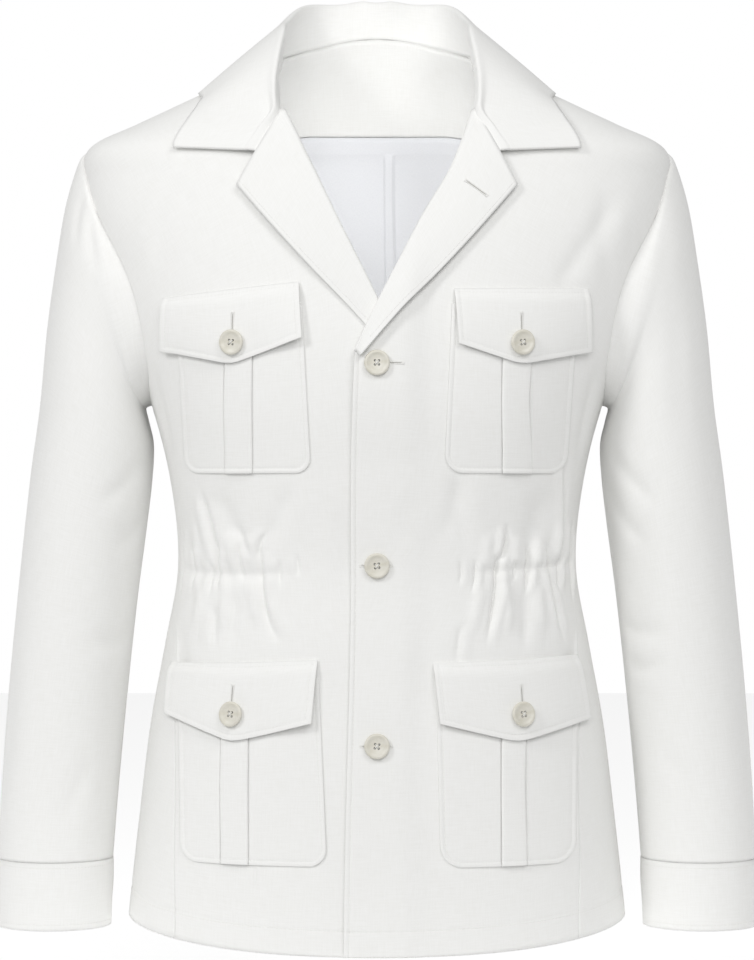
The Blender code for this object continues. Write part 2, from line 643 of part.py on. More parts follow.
def build():
    cloth("front_left", front_panel(top=True), PANEL_CLOTH)
    cloth("front_right", mirrored(front_panel(top=False)), PANEL_CLOTH)
    cloth("back", back_panel(), PANEL_CLOTH)
    cloth("lapel_left", lapel(top=True), PANEL_CLOTH, side=0.0)
    cloth("lapel_right", mirrored(lapel(top=False)), PANEL_CLOTH, side=0.0)
    cloth("collar", collar(), COLLAR_CLOTH, side=0.0)
    cloth("back_facing", back_facing(), LINING_CLOTH)
    cloth("back_lining", back_lining(), LINING_CLOTH, colour=LINING)
    cloth("sleeve_left", sleeve(), PANEL_CLOTH, closed=True)
    cloth("sleeve_right", mirrored(sleeve()), PANEL_CLOTH, closed=True)
    cloth("cuff_left", cuff(), CUFF_CLOTH, closed=True)
    cloth("cuff_right", mirrored(cuff()), CUFF_CLOTH, closed=True)
    for place in POCKETS:
        cloth(f"pocket_{place}_left", pocket(place), TRIM_CLOTH)
        cloth(f"pocket_{place}_right", mirrored(pocket(place)), TRIM_CLOTH)
        cloth(f"flap_{place}_left", flap(place), TRIM_CLOTH)
        cloth(f"flap_{place}_right", mirrored(flap(place)), TRIM_CLOTH)
    turned = button_mesh()
    for number, height in enumerate(FRONT_BUTTONS, start=1):
        rise = float(overlap_rise(0.0, height)) + PANEL_CLOTH + SHANK
        button(f"button_front_{number}", turned, 0.0, height, rise)
    for place, height in FLAP_BUTTON_HEIGHTS.items():
        for side, sign in (("left", 1), ("right", -1)):
            rise = FLAP_RISE + TRIM_CLOTH + SHANK
            button(f"button_{place}_{side}", turned, sign * FLAP_TIP, height, rise)


for old in list(bpy.data.objects):
    bpy.data.objects.remove(old)
jacket = bpy.data.collections.new("safari_jacket")
cutters = bpy.data.collections.new("cutters")
bpy.context.scene.collection.children.link(jacket)
bpy.context.scene.collection.children.link(cutters)
build()
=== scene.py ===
# %% [markdown]
# # A linen safari jacket, worn by nobody
#
# The jacket keeps the form it has on a wearer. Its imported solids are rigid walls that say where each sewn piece
# lies. This lesson dresses them: each piece becomes a thin, finely divided sheet on the same surface, with the
# folds, seams, stitches and buttons that the solids are too coarse for. Metres, +Z up, the front faces -Y.

# %% Load the frame
import json
import math

import bpy
import numpy as np
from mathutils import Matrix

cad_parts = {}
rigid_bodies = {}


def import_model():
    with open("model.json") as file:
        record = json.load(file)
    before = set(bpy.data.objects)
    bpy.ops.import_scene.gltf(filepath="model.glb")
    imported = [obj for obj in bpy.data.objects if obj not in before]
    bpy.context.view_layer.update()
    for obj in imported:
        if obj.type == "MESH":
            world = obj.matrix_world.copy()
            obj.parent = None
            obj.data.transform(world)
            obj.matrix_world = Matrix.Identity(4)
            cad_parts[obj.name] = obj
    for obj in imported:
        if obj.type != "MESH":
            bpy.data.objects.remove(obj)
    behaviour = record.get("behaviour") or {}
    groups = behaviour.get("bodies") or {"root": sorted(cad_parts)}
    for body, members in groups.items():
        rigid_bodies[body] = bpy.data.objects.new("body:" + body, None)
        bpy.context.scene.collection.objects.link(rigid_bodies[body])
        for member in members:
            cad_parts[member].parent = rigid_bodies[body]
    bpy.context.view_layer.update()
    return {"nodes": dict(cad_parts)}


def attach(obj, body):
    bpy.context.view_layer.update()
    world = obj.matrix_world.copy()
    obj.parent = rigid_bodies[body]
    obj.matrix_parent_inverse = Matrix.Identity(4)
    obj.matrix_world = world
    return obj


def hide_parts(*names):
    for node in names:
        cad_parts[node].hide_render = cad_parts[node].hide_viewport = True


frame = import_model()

MM = 0.001
print("frame:", len(frame["nodes"]), "nodes")

# %% [markdown]
# ## The worn body
#
# A tailor thinks of a coat as cloth over a body, so all pieces share one surface. Each ring of the table is a
# cross-section of the worn form. A place on it is an angle round the body, 0 at the front centre and a quarter
# turn at the wearer's left side, and a height. One table keeps every panel, pocket and button on the same form.

# %% Rings of the body, and how a table is read without corners
# height, half width, depth to the front, depth to the back
BODY_RINGS = np.array([
    (-760, 206, 144, 143), (-705, 202, 142, 141), (-610, 192, 138, 136), (-545, 184, 133, 127),
    (-479, 172, 126, 112), (-421, 162, 121, 103), (-347, 168, 129, 114), (-287, 183, 136, 127),
    (-227, 207, 134, 131), (-182, 222, 126, 128), (-133, 236, 114, 121), (-104, 238, 105, 115),
    (-74, 233, 94, 106), (-54, 199, 82, 98), (-34, 158, 68, 88), (4, 76, 44, 70), (30, 60, 33, 60),
    (60, 44, 24, 46),
]) * MM
FULLNESS = 2.3
SHOULDER_SETTLE = 4.8 * MM
SHOULDER_INNER, SHOULDER_OUTER, SHOULDER_FOOT = 55 * MM, 255 * MM, -100 * MM


def smooth(table, places):
    """Read a table at places in its first column, along a curve without corners."""
    at, values = table[:, 0], table[:, 1:]
    slopes = np.gradient(values, at, axis=0)
    places = np.clip(np.asarray(places, float), at[0], at[-1])
    low = np.clip(np.searchsorted(at, places, side="right") - 1, 0, len(at) - 2)
    span = (at[low + 1] - at[low])[..., None]
    t = ((places - at[low])[..., None]) / span
    blend = t * t * (3 - 2 * t)
    ends = values[low] * (1 - blend) + values[low + 1] * blend
    return ends + slopes[low] * t * (1 - t) ** 2 * span + slopes[low + 1] * t * t * (t - 1) * span


def ease(t):
    t = np.clip(t, 0, 1)
    return t * t * (3 - 2 * t)


def unit(vectors):
    return vectors / np.linalg.norm(vectors, axis=-1, keepdims=True)


def body(angle, height):
    """A point of the panels' inner face."""
    angle, height = np.broadcast_arrays(np.asarray(angle, float), np.asarray(height, float))
    ring = smooth(BODY_RINGS, height)
    sine, cosine = np.sin(angle), np.cos(angle)
    depth = np.where(cosine > 0, -ring[..., 1], ring[..., 2])
    x = ring[..., 0] * np.sign(sine) * np.abs(sine) ** (2 / FULLNESS)
    return np.stack([x, depth * np.abs(cosine) ** (2 / FULLNESS), height], axis=-1)


def outward(angle, height):
    round_body = body(angle + 0.02, height) - body(angle - 0.02, height)
    up_body = body(angle, height + 1 * MM) - body(angle, height - 1 * MM)
    return unit(np.cross(round_body, up_body))


def on_body(angle, height, rise=0.0):
    """A place above the body. Worn cloth settles a few millimetres on top of the shoulders."""
    angle, height, rise = np.broadcast_arrays(angle, height, np.asarray(rise, float))
    place = body(angle, height) + outward(angle, height) * rise[..., None]
    reach = np.abs(place[..., 0])
    settled = ease((reach - SHOULDER_INNER) / (35 * MM)) * ease((SHOULDER_OUTER - reach) / (60 * MM))
    place[..., 2] -= SHOULDER_SETTLE * settled * ease((place[..., 2] - SHOULDER_FOOT) / (60 * MM))
    return place


def angle_at(x, height):
    """The angle of the front's point that has this x at this height."""
    half_width = smooth(BODY_RINGS, height)[..., 0]
    return np.arcsin(np.clip(np.abs(x) / half_width, 0, 1) ** (FULLNESS / 2)) * np.sign(x)


def on_front(x, height, rise):
    """A place above the front, and the way that the front faces there."""
    angle = angle_at(x, height)
    return on_body(angle, height, rise), outward(angle, height)


print("body: half width at the waist", round(float(body(math.pi / 2, -0.421)[0]) * 1000), "mm")

# %% [markdown]
# ## Flat cloth
#
# Cloth is cut flat. To spread a panel evenly over the body, its points are blended between its four edges in
# flat coordinates: the height, and a width that follows x on the front and grows with the angle at the side.

# %% Flat coordinates and the blend between four edges
FLAT_LIMIT = math.radians(50)
FLAT_WIDTH = math.sin(FLAT_LIMIT) ** (2 / FULLNESS)
FLAT_SLOPE = 2 / FULLNESS * math.sin(FLAT_LIMIT) ** (2 / FULLNESS - 1) * math.cos(FLAT_LIMIT)


def flat_width(turn, height):
    half_width = smooth(BODY_RINGS, height)[..., 0]
    size = np.abs(turn)
    near = np.sin(np.minimum(size, FLAT_LIMIT)) ** (2 / FULLNESS)
    return half_width * np.sign(turn) * (near + FLAT_SLOPE * np.maximum(size - FLAT_LIMIT, 0))


def turn_of(width, height):
    share = np.abs(width) / smooth(BODY_RINGS, height)[..., 0]
    near = np.arcsin(np.minimum(share, FLAT_WIDTH) ** (FULLNESS / 2))
    return np.sign(width) * (near + np.maximum(share - FLAT_WIDTH, 0) / FLAT_SLOPE)


def blended(edges, columns, rows, back):
    """Angles and heights over a panel, worked out from its four edges."""
    def laid_flat(edge):
        turn = math.pi - edge[:, 0] if back else edge[:, 0]
        return np.column_stack([flat_width(turn, edge[:, 1]), edge[:, 1]])

    bottom, top, left, right = [laid_flat(edge) for edge in edges]
    u, v = columns[None, :, None], rows[:, None, None]
    corners = ((1 - u) * (1 - v) * bottom[0] + u * (1 - v) * bottom[-1]
               + (1 - u) * v * top[0] + u * v * top[-1])
    patch = (1 - v) * bottom[None] + v * top[None] + (1 - u) * left[:, None] + u * right[:, None] - corners
    turn = turn_of(patch[..., 0], patch[..., 1])
    return (math.pi - turn if back else turn), patch[..., 1]


# %% [markdown]
# ## Linen, lining and button
#
# Plain linen has slubs: threads that swell here and there, along the warp and along the weft. Each piece has UVs
# in metres along its own grain, so two stretched noises, one for each direction, lie on the cloth like threads.
# They steer the colour a little and the bump a little more. The lining is smoother and cooler, and the buttons
# are a satin ivory with faint cloudy veins. An even value stays on the shader's own socket.

# %% Materials
def new_material(name, colour, roughness):
    made = bpy.data.materials.new(name)
    made.use_nodes = True
    shader = made.node_tree.nodes["Principled BSDF"]
    shader.inputs["Base Color"].default_value = (*colour, 1)
    shader.inputs["Roughness"].default_value = roughness
    return made, made.node_tree, shader


def stretched_noise(tree, source, scale, detail, spot):
    """A noise that is stretched along one direction of the cloth."""
    mapping = tree.nodes.new("ShaderNodeMapping")
    mapping.inputs["Scale"].default_value = scale
    noise = tree.nodes.new("ShaderNodeTexNoise")
    noise.inputs["Scale"].default_value = 1.0
    noise.inputs["Detail"].default_value = detail
    mapping.location, noise.location = (spot[0], spot[1]), (spot[0] + 200, spot[1])
    tree.links.new(source, mapping.inputs["Vector"])
    tree.links.new(mapping.outputs["Vector"], noise.inputs["Vector"])
    return noise.outputs["Fac"]


def ramp(tree, source, low, high, dark, light):
    node = tree.nodes.new("ShaderNodeValToRGB")
    node.color_ramp.elements[0].position = low
    node.color_ramp.elements[1].position = high
    node.color_ramp.elements[0].color = (*dark, 1)
    node.color_ramp.elements[1].color = (*light, 1)
    tree.links.new(source, node.inputs["Fac"])
    return node.outputs["Color"]


def woven(name, dark, light, roughness, threads, slub, depth):
    """Threads per metre, how long a slub is against its width, and how deep the relief is."""
    made, tree, shader = new_material(name, light, roughness)
    uv = tree.nodes.new("ShaderNodeTexCoord").outputs["UV"]
    warp = stretched_noise(tree, uv, (threads, threads / slub, 1), 3, (-900, 200))
    weft = stretched_noise(tree, uv, (threads / slub, threads, 1), 3, (-900, -150))
    both = tree.nodes.new("ShaderNodeMath")
    both.operation = "ADD"
    tree.links.new(warp, both.inputs[0])
    tree.links.new(weft, both.inputs[1])
    half = tree.nodes.new("ShaderNodeMath")
    half.operation = "MULTIPLY"
    half.inputs[1].default_value = 0.5
    tree.links.new(both.outputs[0], half.inputs[0])
    tree.links.new(ramp(tree, half.outputs[0], 0.36, 0.62, dark, light), shader.inputs["Base Color"])
    bump = tree.nodes.new("ShaderNodeBump")
    bump.inputs["Strength"].default_value = 0.5
    bump.inputs["Distance"].default_value = depth
    tree.links.new(half.outputs[0], bump.inputs["Height"])
    tree.links.new(bump.outputs["Normal"], shader.inputs["Normal"])
    return made, shader


linen, linen_shader = woven("linen", (0.868, 0.866, 0.846), (0.900, 0.900, 0.885), 0.88, 950, 14, 0.00013)
linen_shader.inputs["Sheen Weight"].default_value = 0.12
linen_shader.inputs["Sheen Roughness"].default_value = 0.5
lining, lining_shader = woven("lining", (0.755, 0.765, 0.795), (0.805, 0.812, 0.838), 0.5, 2200, 5, 0.00004)
lining_shader.inputs["Specular IOR Level"].default_value = 0.35
thread, _ = woven("thread", (0.80, 0.795, 0.77), (0.90, 0.90, 0.88), 0.7, 3000, 2, 0.00004)

ivory, tree, ivory_shader = new_material("button_ivory", (0.72, 0.70, 0.62), 0.36)
place = tree.nodes.new("ShaderNodeTexCoord").outputs["Object"]
veins = stretched_noise(tree, place, (90, 260, 90), 4, (-900, 0))
tree.links.new(ramp(tree, veins, 0.35, 0.7, (0.68, 0.655, 0.565), (0.75, 0.73, 0.66)),
               ivory_shader.inputs["Base Color"])
# A dark grey finish for the buttonholes' slits: painted shade for the opening of each cut.
painted_slit_shade, _, _ = new_material("slit_shade", (0.42, 0.41, 0.38), 0.9)
print("materials:", linen.name, lining.name, thread.name, ivory.name)

# %% [markdown]
# ## A sheet of cloth
#
# Every sewn piece starts as an open grid of faces and gets its thickness from Solidify, which also closes its
# rim. The grid's own lengths are its UVs. The cut that the piece was made from is measured on the same grid.

# %% Pieces and sheets
def mesh_of(name, points, faces, finish):
    mesh = bpy.data.meshes.new(name)
    mesh.from_pydata(np.reshape(points, (-1, 3)).tolist(), [], faces)
    mesh.shade_smooth()
    mesh.materials.append(finish)
    return mesh


def linked(name, data):
    made = bpy.data.objects.new(name, data)
    bpy.context.scene.collection.objects.link(made)
    return made


def declare(piece, node=None):
    """Fix a piece to the jacket, and hide the solid that it dresses, if one is given."""
    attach(piece, "root")
    if node:
        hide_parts(node)


def lengths(grid, axis):
    steps = np.linalg.norm(np.diff(grid, axis=axis), axis=-1)
    total = np.cumsum(steps, axis=axis)
    first = np.zeros_like(np.take(total, [0], axis=axis))
    return np.concatenate([first, total], axis=axis)


def sheet_of(node, grid, thickness, finish=linen, closed=False, side=1.0,
             thinned=None):
    """A thin cloth on its solid's form. Closed says that its last column meets its first."""
    name = f"{node}_cloth"
    grid = np.concatenate([grid, grid[:, :1]], axis=1) if closed else grid
    rows, columns = grid.shape[:2]
    across, down = lengths(grid, 1), lengths(grid, 0)
    u = across - across[:, columns // 2][:, None]
    v = np.repeat(down.mean(axis=1)[:, None], columns, axis=1)
    if closed:
        grid = grid[:, :-1]
    width = grid.shape[1]
    i, j = np.meshgrid(np.arange(rows - 1), np.arange(columns - 1), indexing="ij")
    k = (j + 1) % width
    faces = np.stack([i * width + j, i * width + k, (i + 1) * width + k, (i + 1) * width + j], axis=-1)
    corner = i * columns + j
    corners = np.stack([corner, corner + 1, corner + columns + 1, corner + columns], axis=-1)
    mesh = mesh_of(name, grid, faces.reshape(-1, 4).tolist(), finish)
    layer = mesh.uv_layers.new(name="grain")
    uv = np.stack([u, v], axis=-1).reshape(-1, 2)[corners.reshape(-1)]
    layer.data.foreach_set("uv", uv.ravel())
    piece = linked(name, mesh)
    wall = piece.modifiers.new("cloth", "SOLIDIFY")
    wall.thickness = thickness
    wall.offset = side
    if thinned is not None:
        group = piece.vertex_groups.new(name="thickness")
        for number, share in enumerate(thinned.ravel()):
            group.add([number], float(share), "REPLACE")
        wall.vertex_group = group.name
    declare(piece, node)


def mirrored(grid):
    """The same piece for the other side, with its faces still pointing out."""
    return (grid * (-1, 1, 1))[:, ::-1]


def outer_face(grid, distance, closed=False):
    """The same grid at a distance above its faces, and the way that it faces there."""
    wide = np.concatenate([grid[:, -1:], grid, grid[:, :1]], axis=1) if closed else grid
    across, up = np.gradient(wide, axis=1), np.gradient(wide, axis=0)
    facing = unit(np.cross(across, up))
    facing = facing[:, 1:-1] if closed else facing
    return grid + facing * distance, facing


def walk(line):
    """How far along a line each of its points lies."""
    return np.concatenate([[0], np.cumsum(np.linalg.norm(np.diff(line, axis=0), axis=1))])


def read_line(at, walked, line):
    return np.stack([np.interp(at, walked, line[:, axis]) for axis in range(line.shape[1])], axis=-1)


def beside_edge(points, facing, edge, inset):
    """A line of places at a distance inside one edge of a grid: left, right, foot or head."""
    if edge in ("foot", "head"):
        points, facing = points.transpose(1, 0, 2), facing.transpose(1, 0, 2)
    if edge in ("right", "head"):
        points, facing = points[:, ::-1], facing[:, ::-1]
    line, ways = [], []
    for row, way in zip(points, facing):
        walked = walk(row)
        line.append(read_line(inset, walked, row))
        ways.append(read_line(inset, walked, way))
    return np.array(line), unit(np.array(ways))


# %% [markdown]
# ## Stitches
#
# A row of stitches is a chain of short threads with small gaps, half sunk in the cloth. All the stitches of one
# row are one mesh: each is a flat six-sided bar, a little thinner at its ends. They ride on the same line of
# places as the edge that they hold, so they stay at one distance from it.

# %% Rows of stitches
def bar_faces(base, levels, sides=6):
    """The faces round a bar of stacked rings, and its two ends."""
    faces = []
    for a in range(base, base + (levels - 1) * sides, sides):
        for k in range(sides):
            n = (k + 1) % sides
            faces.append((a + k, a + n, a + sides + n, a + sides + k))
    foot = tuple(range(base, base + sides))
    return faces + [foot[::-1], tuple(k + (levels - 1) * sides for k in foot)]


def bars(name, starts, ends, ways, radius):
    """Short threads from starts to ends, rounded towards the way that the cloth faces."""
    along = unit(ends - starts)
    across = unit(np.cross(along, ways))
    ring = [(math.cos(t), math.sin(t)) for t in np.radians([0, 60, 120, 180, 240, 300])]
    points = []
    for share, width in ((0.0, 0.45), (0.22, 1.0), (0.78, 1.0), (1.0, 0.45)):
        middle = starts + (ends - starts) * share
        for c, d in ring:
            points.append(middle + (across * c + ways * d * 0.75) * radius * width)
    faces = [face for number in range(len(starts)) for face in bar_faces(number * 24, 4)]
    declare(linked(name, mesh_of(name, np.stack(points, axis=1), faces, thread)))


def stitch_row(name, lines, pitch=3.1 * MM, share=0.76, radius=0.26 * MM):
    """One mesh of stitches along several lines. A line is its places and the way the cloth faces at each."""
    starts, ends, ways = [], [], []
    for line, facing in lines:
        walked = walk(line)
        count = max(int(walked[-1] / pitch), 1)
        for part, out, values in ((0.0, starts, line), (share, ends, line), (0.5, ways, facing)):
            out.append(read_line((np.arange(count) + part) * walked[-1] / count, walked, values))
    starts, ends, ways = [np.concatenate(values) for values in (starts, ends, ways)]
    bars(name, starts, ends, unit(ways), radius)
    print(f"{name}: {len(starts)} stitches")


def buttonhole(name, centre, along, facing, length):
    """A worked hole: thread laid side by side along both lips, and between them a dark sheet of painted shade for
    the open slit.
    """
    across = np.cross(facing, along)
    at = np.arange(-length / 2, length / 2, 0.62 * MM)
    starts, ends = [], []
    for side in (-1, 1):
        for place in at:
            starts.append(centre + along * place + across * side * 0.18 * MM + facing * 0.02 * MM)
            ends.append(centre + along * place + across * side * 1.35 * MM - facing * 0.02 * MM)
    for side in (-1, 1):
        for k in range(3):
            place = along * side * (length / 2 + (0.35 + 0.5 * k) * MM)
            starts.append(centre + place - across * 1.3 * MM)
            ends.append(centre + place + across * 1.3 * MM)
    bars(name, np.array(starts), np.array(ends), np.repeat(facing[None], len(starts), axis=0), 0.33 * MM)
    outline = [(-0.5, 0), (-0.4, 0.20), (0, 0.30), (0.4, 0.20), (0.5, 0), (0.4, -0.20), (0, -0.30), (-0.4, -0.20)]
    # The slit is a flat dark sheet just above the cloth: painted shade where the cut opens.
    points = [centre + along * u * length + across * v * MM + facing * 0.16 * MM for u, v in outline]
    slit = f"{name}_slit"
    declare(linked(slit, mesh_of(slit, points, [tuple(range(8))], painted_slit_shade)))


# %% [markdown]
# ## Folds
#
# On a worn jacket, folds start where cloth is drawn in or pulled: at the waist cord, at the pockets' corners,
# under the arm. Each fold is given as one row of a table: a curve through three places, its depth
# (minus is a trough), its half width, and how strongly a soft ridge stands beside it. A sharp, short row is a
# pinch at the cord, and a wide one is the slack that hangs from it.

# %% How a table of folds moves a surface
def fold_rise(across, height, table):
    """How far each point stands out, from folds given in millimetres of flat width and height."""
    total = np.zeros(np.shape(across))
    for x1, z1, x2, z2, x3, z3, depth, half_width, beside in table:
        t = np.linspace(0, 1, 9)[:, None]
        middle = 2 * np.array([x2, z2]) - 0.5 * np.array([x1 + x3, z1 + z3])
        curve = ((1 - t) ** 2 * (x1, z1) + 2 * t * (1 - t) * middle + t * t * np.array([x3, z3])) * MM
        reach = (abs(beside) * 2 + 2.5) * half_width * MM
        low, high = curve.min(axis=0) - reach, curve.max(axis=0) + reach
        near = (across > low[0]) & (across < high[0]) & (height > low[1]) & (height < high[1])
        if not near.any():
            continue
        places = np.stack([across[near], height[near]], axis=-1)[:, None]
        start, run = curve[None, :-1], np.diff(curve, axis=0)[None]
        share = np.clip(np.sum((places - start) * run, -1) / np.sum(run * run, -1), 0, 1)
        offset = places - start - run * share[..., None]
        distance = np.linalg.norm(offset, axis=-1)
        best = distance.argmin(axis=1)
        pick = np.arange(len(best))
        along = (best + share[pick, best]) / 8
        turn = run[0, best, 0] * offset[pick, best, 1] - run[0, best, 1] * offset[pick, best, 0]
        signed = distance[pick, best] * np.sign(turn) / (half_width * MM)
        taper = ease(along / 0.35) * ease((1 - along) / 0.35)
        shape = np.exp(-signed ** 2) - abs(beside) * np.exp(-((signed - 1.9 * np.sign(beside)) / 1.5) ** 2)
        total[near] += depth * MM * taper * shape
    return total


def bell(distance, middle, width):
    """A soft ridge at a distance from an edge. Its middle and width are in millimetres."""
    return np.exp(-((distance - middle * MM) / (width * MM)) ** 2)


# %% [markdown]
# ## The two fronts
#
# Each front runs from the hem to the shoulder, and from the opening edge to the side seam and the armhole. Above
# the break its edge follows the roll line, where the lapel turns out. The left front lies on top of the right
# one, so it is lifted near the centre. The cord inside draws in only the outer half of each front.

# %% Sizes and edges of the fronts
BREAK_HEIGHT = -247 * MM
# height, how far the edge laps over the centre
TOP_FRONT_EDGE = np.array([(-760, 26), (-674, 25), (-441, 20), (-316, 19.5), (-247, 17)]) * MM
UNDER_FRONT_EDGE = np.array([(-760, 16), (-674, 16), (-441, 16), (-316, 16), (-247, 17)]) * MM
# height, distance from the centre
TOP_ROLL = np.array([(-247, -17), (-211, 0), (-171, 20), (-136, 38), (-104, 57), (-77, 68), (-50, 76)]) * MM
UNDER_ROLL = np.array([(-247, -17), (-210, -2), (-144, 30), (-104, 49), (-77, 62), (-50, 74)]) * MM
LAPEL_EDGE = np.array([(-251, -13), (-214, 20), (-183, 50), (-149, 81), (-114, 111)]) * MM
# share of the neckline, angle in degrees, height in millimetres
NECKLINE = np.array([(0.00, 23, -47), (0.18, 33, -24), (0.32, 57, -4), (0.42, 90, 4), (0.58, 128, 12),
                     (0.78, 157, 21), (1.00, 180, 24)])
NECK_SHARE_AT_SIDE = 0.42
# turn once round the armhole, from the shoulder point over the front: turn, angle, height
ARMHOLE = np.array([(0, 90, -75), (30, 82, -102), (60, 70, -135), (90, 62, -183), (120, 63, -228),
                    (150, 72, -266), (180, 90, -287), (210, 107, -266), (240, 116, -228), (270, 119, -183),
                    (300, 115, -135), (330, 104, -102), (360, 90, -75)])
SIDE_SEAM = np.array([(-760, 47), (-707, 49), (-648, 52), (-554, 57.5), (-476, 68), (-418, 80), (-287, 90)])
# share of the panel, height at the front edge, height at the side
PANEL_ROWS = np.array([(0, -718, -706), (0.36, -465, -465), (0.42, -421, -421), (0.48, -377, -377),
                       (0.62, -247, -287)])
# shares of a panel's height: the hem's close rows end, the gathers start and end, the armpit
HEM_SHARE, GATHER_FOOT, GATHER_HEAD, ARMPIT_SHARE = 0.042, 0.34, 0.50, 0.62
GORGE_SHARE, GORGE_ROW = 5 / 8, 0.8575  # share of the armhole's rows, and of all the rows
SEAT = 0.4 * MM
CLOTH = 1.1 * MM
FRONT_WIDTH, PANEL_LENGTH = 260 * MM, 740 * MM
HEM_STITCH, EDGE_STITCH = 20.4, 4.2
HEM_ROWS = np.array([0, 1.2, 4, 9, 14, 18, 19.4, HEM_STITCH, 21.4, 22.6, 24.4]) * MM / PANEL_LENGTH


def hem_height(angle):
    return (-701 - 17.5 * np.clip(np.cos(angle), 0, 1) ** 1.5) * MM


def overlap_rise(x, height):
    """How far the top front is lifted where it laps over the under front and its lapel."""
    at_height = np.interp(height, np.array([-330, -275, -200, -120]) * MM, np.array([2.5, 5.2, 5.2, 0]) * MM)
    return at_height * (1 - ease((x - 18 * MM) / (26 * MM)))


def hem_rise(rows):
    """A doubled hem, drawn in along its stitches."""
    from_hem = rows[:, None] * PANEL_LENGTH
    return 0.35 * MM * (np.exp(-(from_hem / (14 * MM)) ** 4) - bell(from_hem, HEM_STITCH, 1.2))


def roll_radius(share):
    return (1.1 + 1.8 * ease(share)) * MM


def side_edge(shares, front):
    height = np.interp(shares, PANEL_ROWS[:, 0], PANEL_ROWS[:, 2])
    seam = smooth(SIDE_SEAM, height)[:, 0]
    turn = 180 * (1 - (shares - ARMPIT_SHARE) / (1 - ARMPIT_SHARE) * (1 if front else -1))
    hole = smooth(ARMHOLE, turn)
    above = shares > ARMPIT_SHARE
    return np.radians(np.where(above, hole[:, 0], seam)), np.where(above, hole[:, 1], height) * MM


def front_edge(shares, top):
    up = (shares - ARMPIT_SHARE) / (1 - ARMPIT_SHARE)
    below = np.interp(shares, PANEL_ROWS[:, 0], PANEL_ROWS[:, 1]) * MM
    gorge = NECKLINE[0, 2] * MM
    height = np.where(up > 0, BREAK_HEIGHT + (gorge - BREAK_HEIGHT) * up / GORGE_SHARE, below)
    lap = smooth(TOP_FRONT_EDGE if top else UNDER_FRONT_EDGE, height)[:, 0]
    roll = smooth(TOP_ROLL if top else UNDER_ROLL, height)[:, 0]
    set_back = 1.3 * roll_radius(up / GORGE_SHARE) * ease(up / 0.08)
    angle = angle_at(np.where(up > 0, roll + set_back, -lap), height)
    along_neck = np.clip((up - GORGE_SHARE) / (1 - GORGE_SHARE), 0, 1)
    neck = smooth(NECKLINE, along_neck * NECK_SHARE_AT_SIDE)
    on_neck = up > GORGE_SHARE
    return np.where(on_neck, np.radians(neck[:, 0]), angle), np.where(on_neck, neck[:, 1] * MM, height)


# %% Folds of the fronts, in millimetres of flat width and height
# x and height of the start, the middle and the end, depth, half width, ridge beside it
LEFT_FRONT_FOLDS = [
    (92, -402, 94, -430, 85, -482, -5.4, 2.6, 0.6), (101, -380, 101, -398, 94, -416, -4.2, 2.2, -0.5),
    (119, -396, 120, -416, 117, -440, -4.8, 2.2, 0.6), (135, -390, 140, -428, 153, -486, -5.4, 2.8, -0.6),
    (153, -404, 149, -420, 147, -440, -3.4, 1.9, 0.5), (150, -322, 152, -376, 146, -424, -5.4, 3.0, -0.6),
    (166, -376, 168, -410, 164, -450, -3.2, 2.4, 0.5), (76, -408, 77, -422, 74, -438, -2.4, 1.8, 0.6),
    (64, -408, 66, -420, 64, -432, -1.6, 1.8, 0.4), (107, -408, 109, -418, 106, -428, -2.0, 1.7, -0.5),
    (131, -352, 125, -382, 118, -412, -3.4, 8.5, 0.35), (60, -338, 65, -368, 73, -410, -2.4, 7.5, 0.3),
    (114, -430, 117, -456, 116, -486, -2.2, 5.0, 0.3), (66, -458, 64, -474, 62, -492, -1.6, 3.0, 0.4),
    (100, -426, 103, -446, 102, -474, 2.8, 4.2, 0.0), (128, -424, 128, -444, 133, -470, 2.6, 4.4, 0.0),
    (84, -426, 79, -446, 74, -474, 1.8, 4.6, 0.0), (142, -428, 147, -448, 156, -476, 2.0, 3.6, 0.0),
    (127, -420, 127, -404, 127, -386, 2.4, 3.6, 0.0), (109, -418, 110, -404, 110, -388, 2.2, 4.4, 0.0),
    (86, -418, 86, -404, 88, -386, 1.9, 4.4, 0.0), (142, -414, 143, -398, 144, -376, 2.4, 3.4, 0.0),
    (159, -414, 159, -396, 160, -372, 2.0, 3.4, 0.0), (70, -421, 118, -417, 184, -414, -1.9, 4.2, 0.0),
    (165, -458, 160, -500, 163, -560, -1.8, 8.0, 0.3), (38, -440, 30, -540, 34, -660, -1.3, 12.0, 0.3),
    (204, -105, 162, -166, 140, -196, -1.8, 8.0, 0.4), (186, -100, 180, -150, 190, -205, -1.4, 8.0, 0.3),
    (182, -250, 172, -292, 166, -340, -2.0, 6.0, 0.4), (64, -348, 58, -372, 50, -402, -1.2, 7.0, 0.3),
    (172, -660, 168, -690, 170, -712, -1.2, 7.0, 0.3), (30, -350, 22, -380, 26, -402, -0.9, 8.0, 0.3),
]
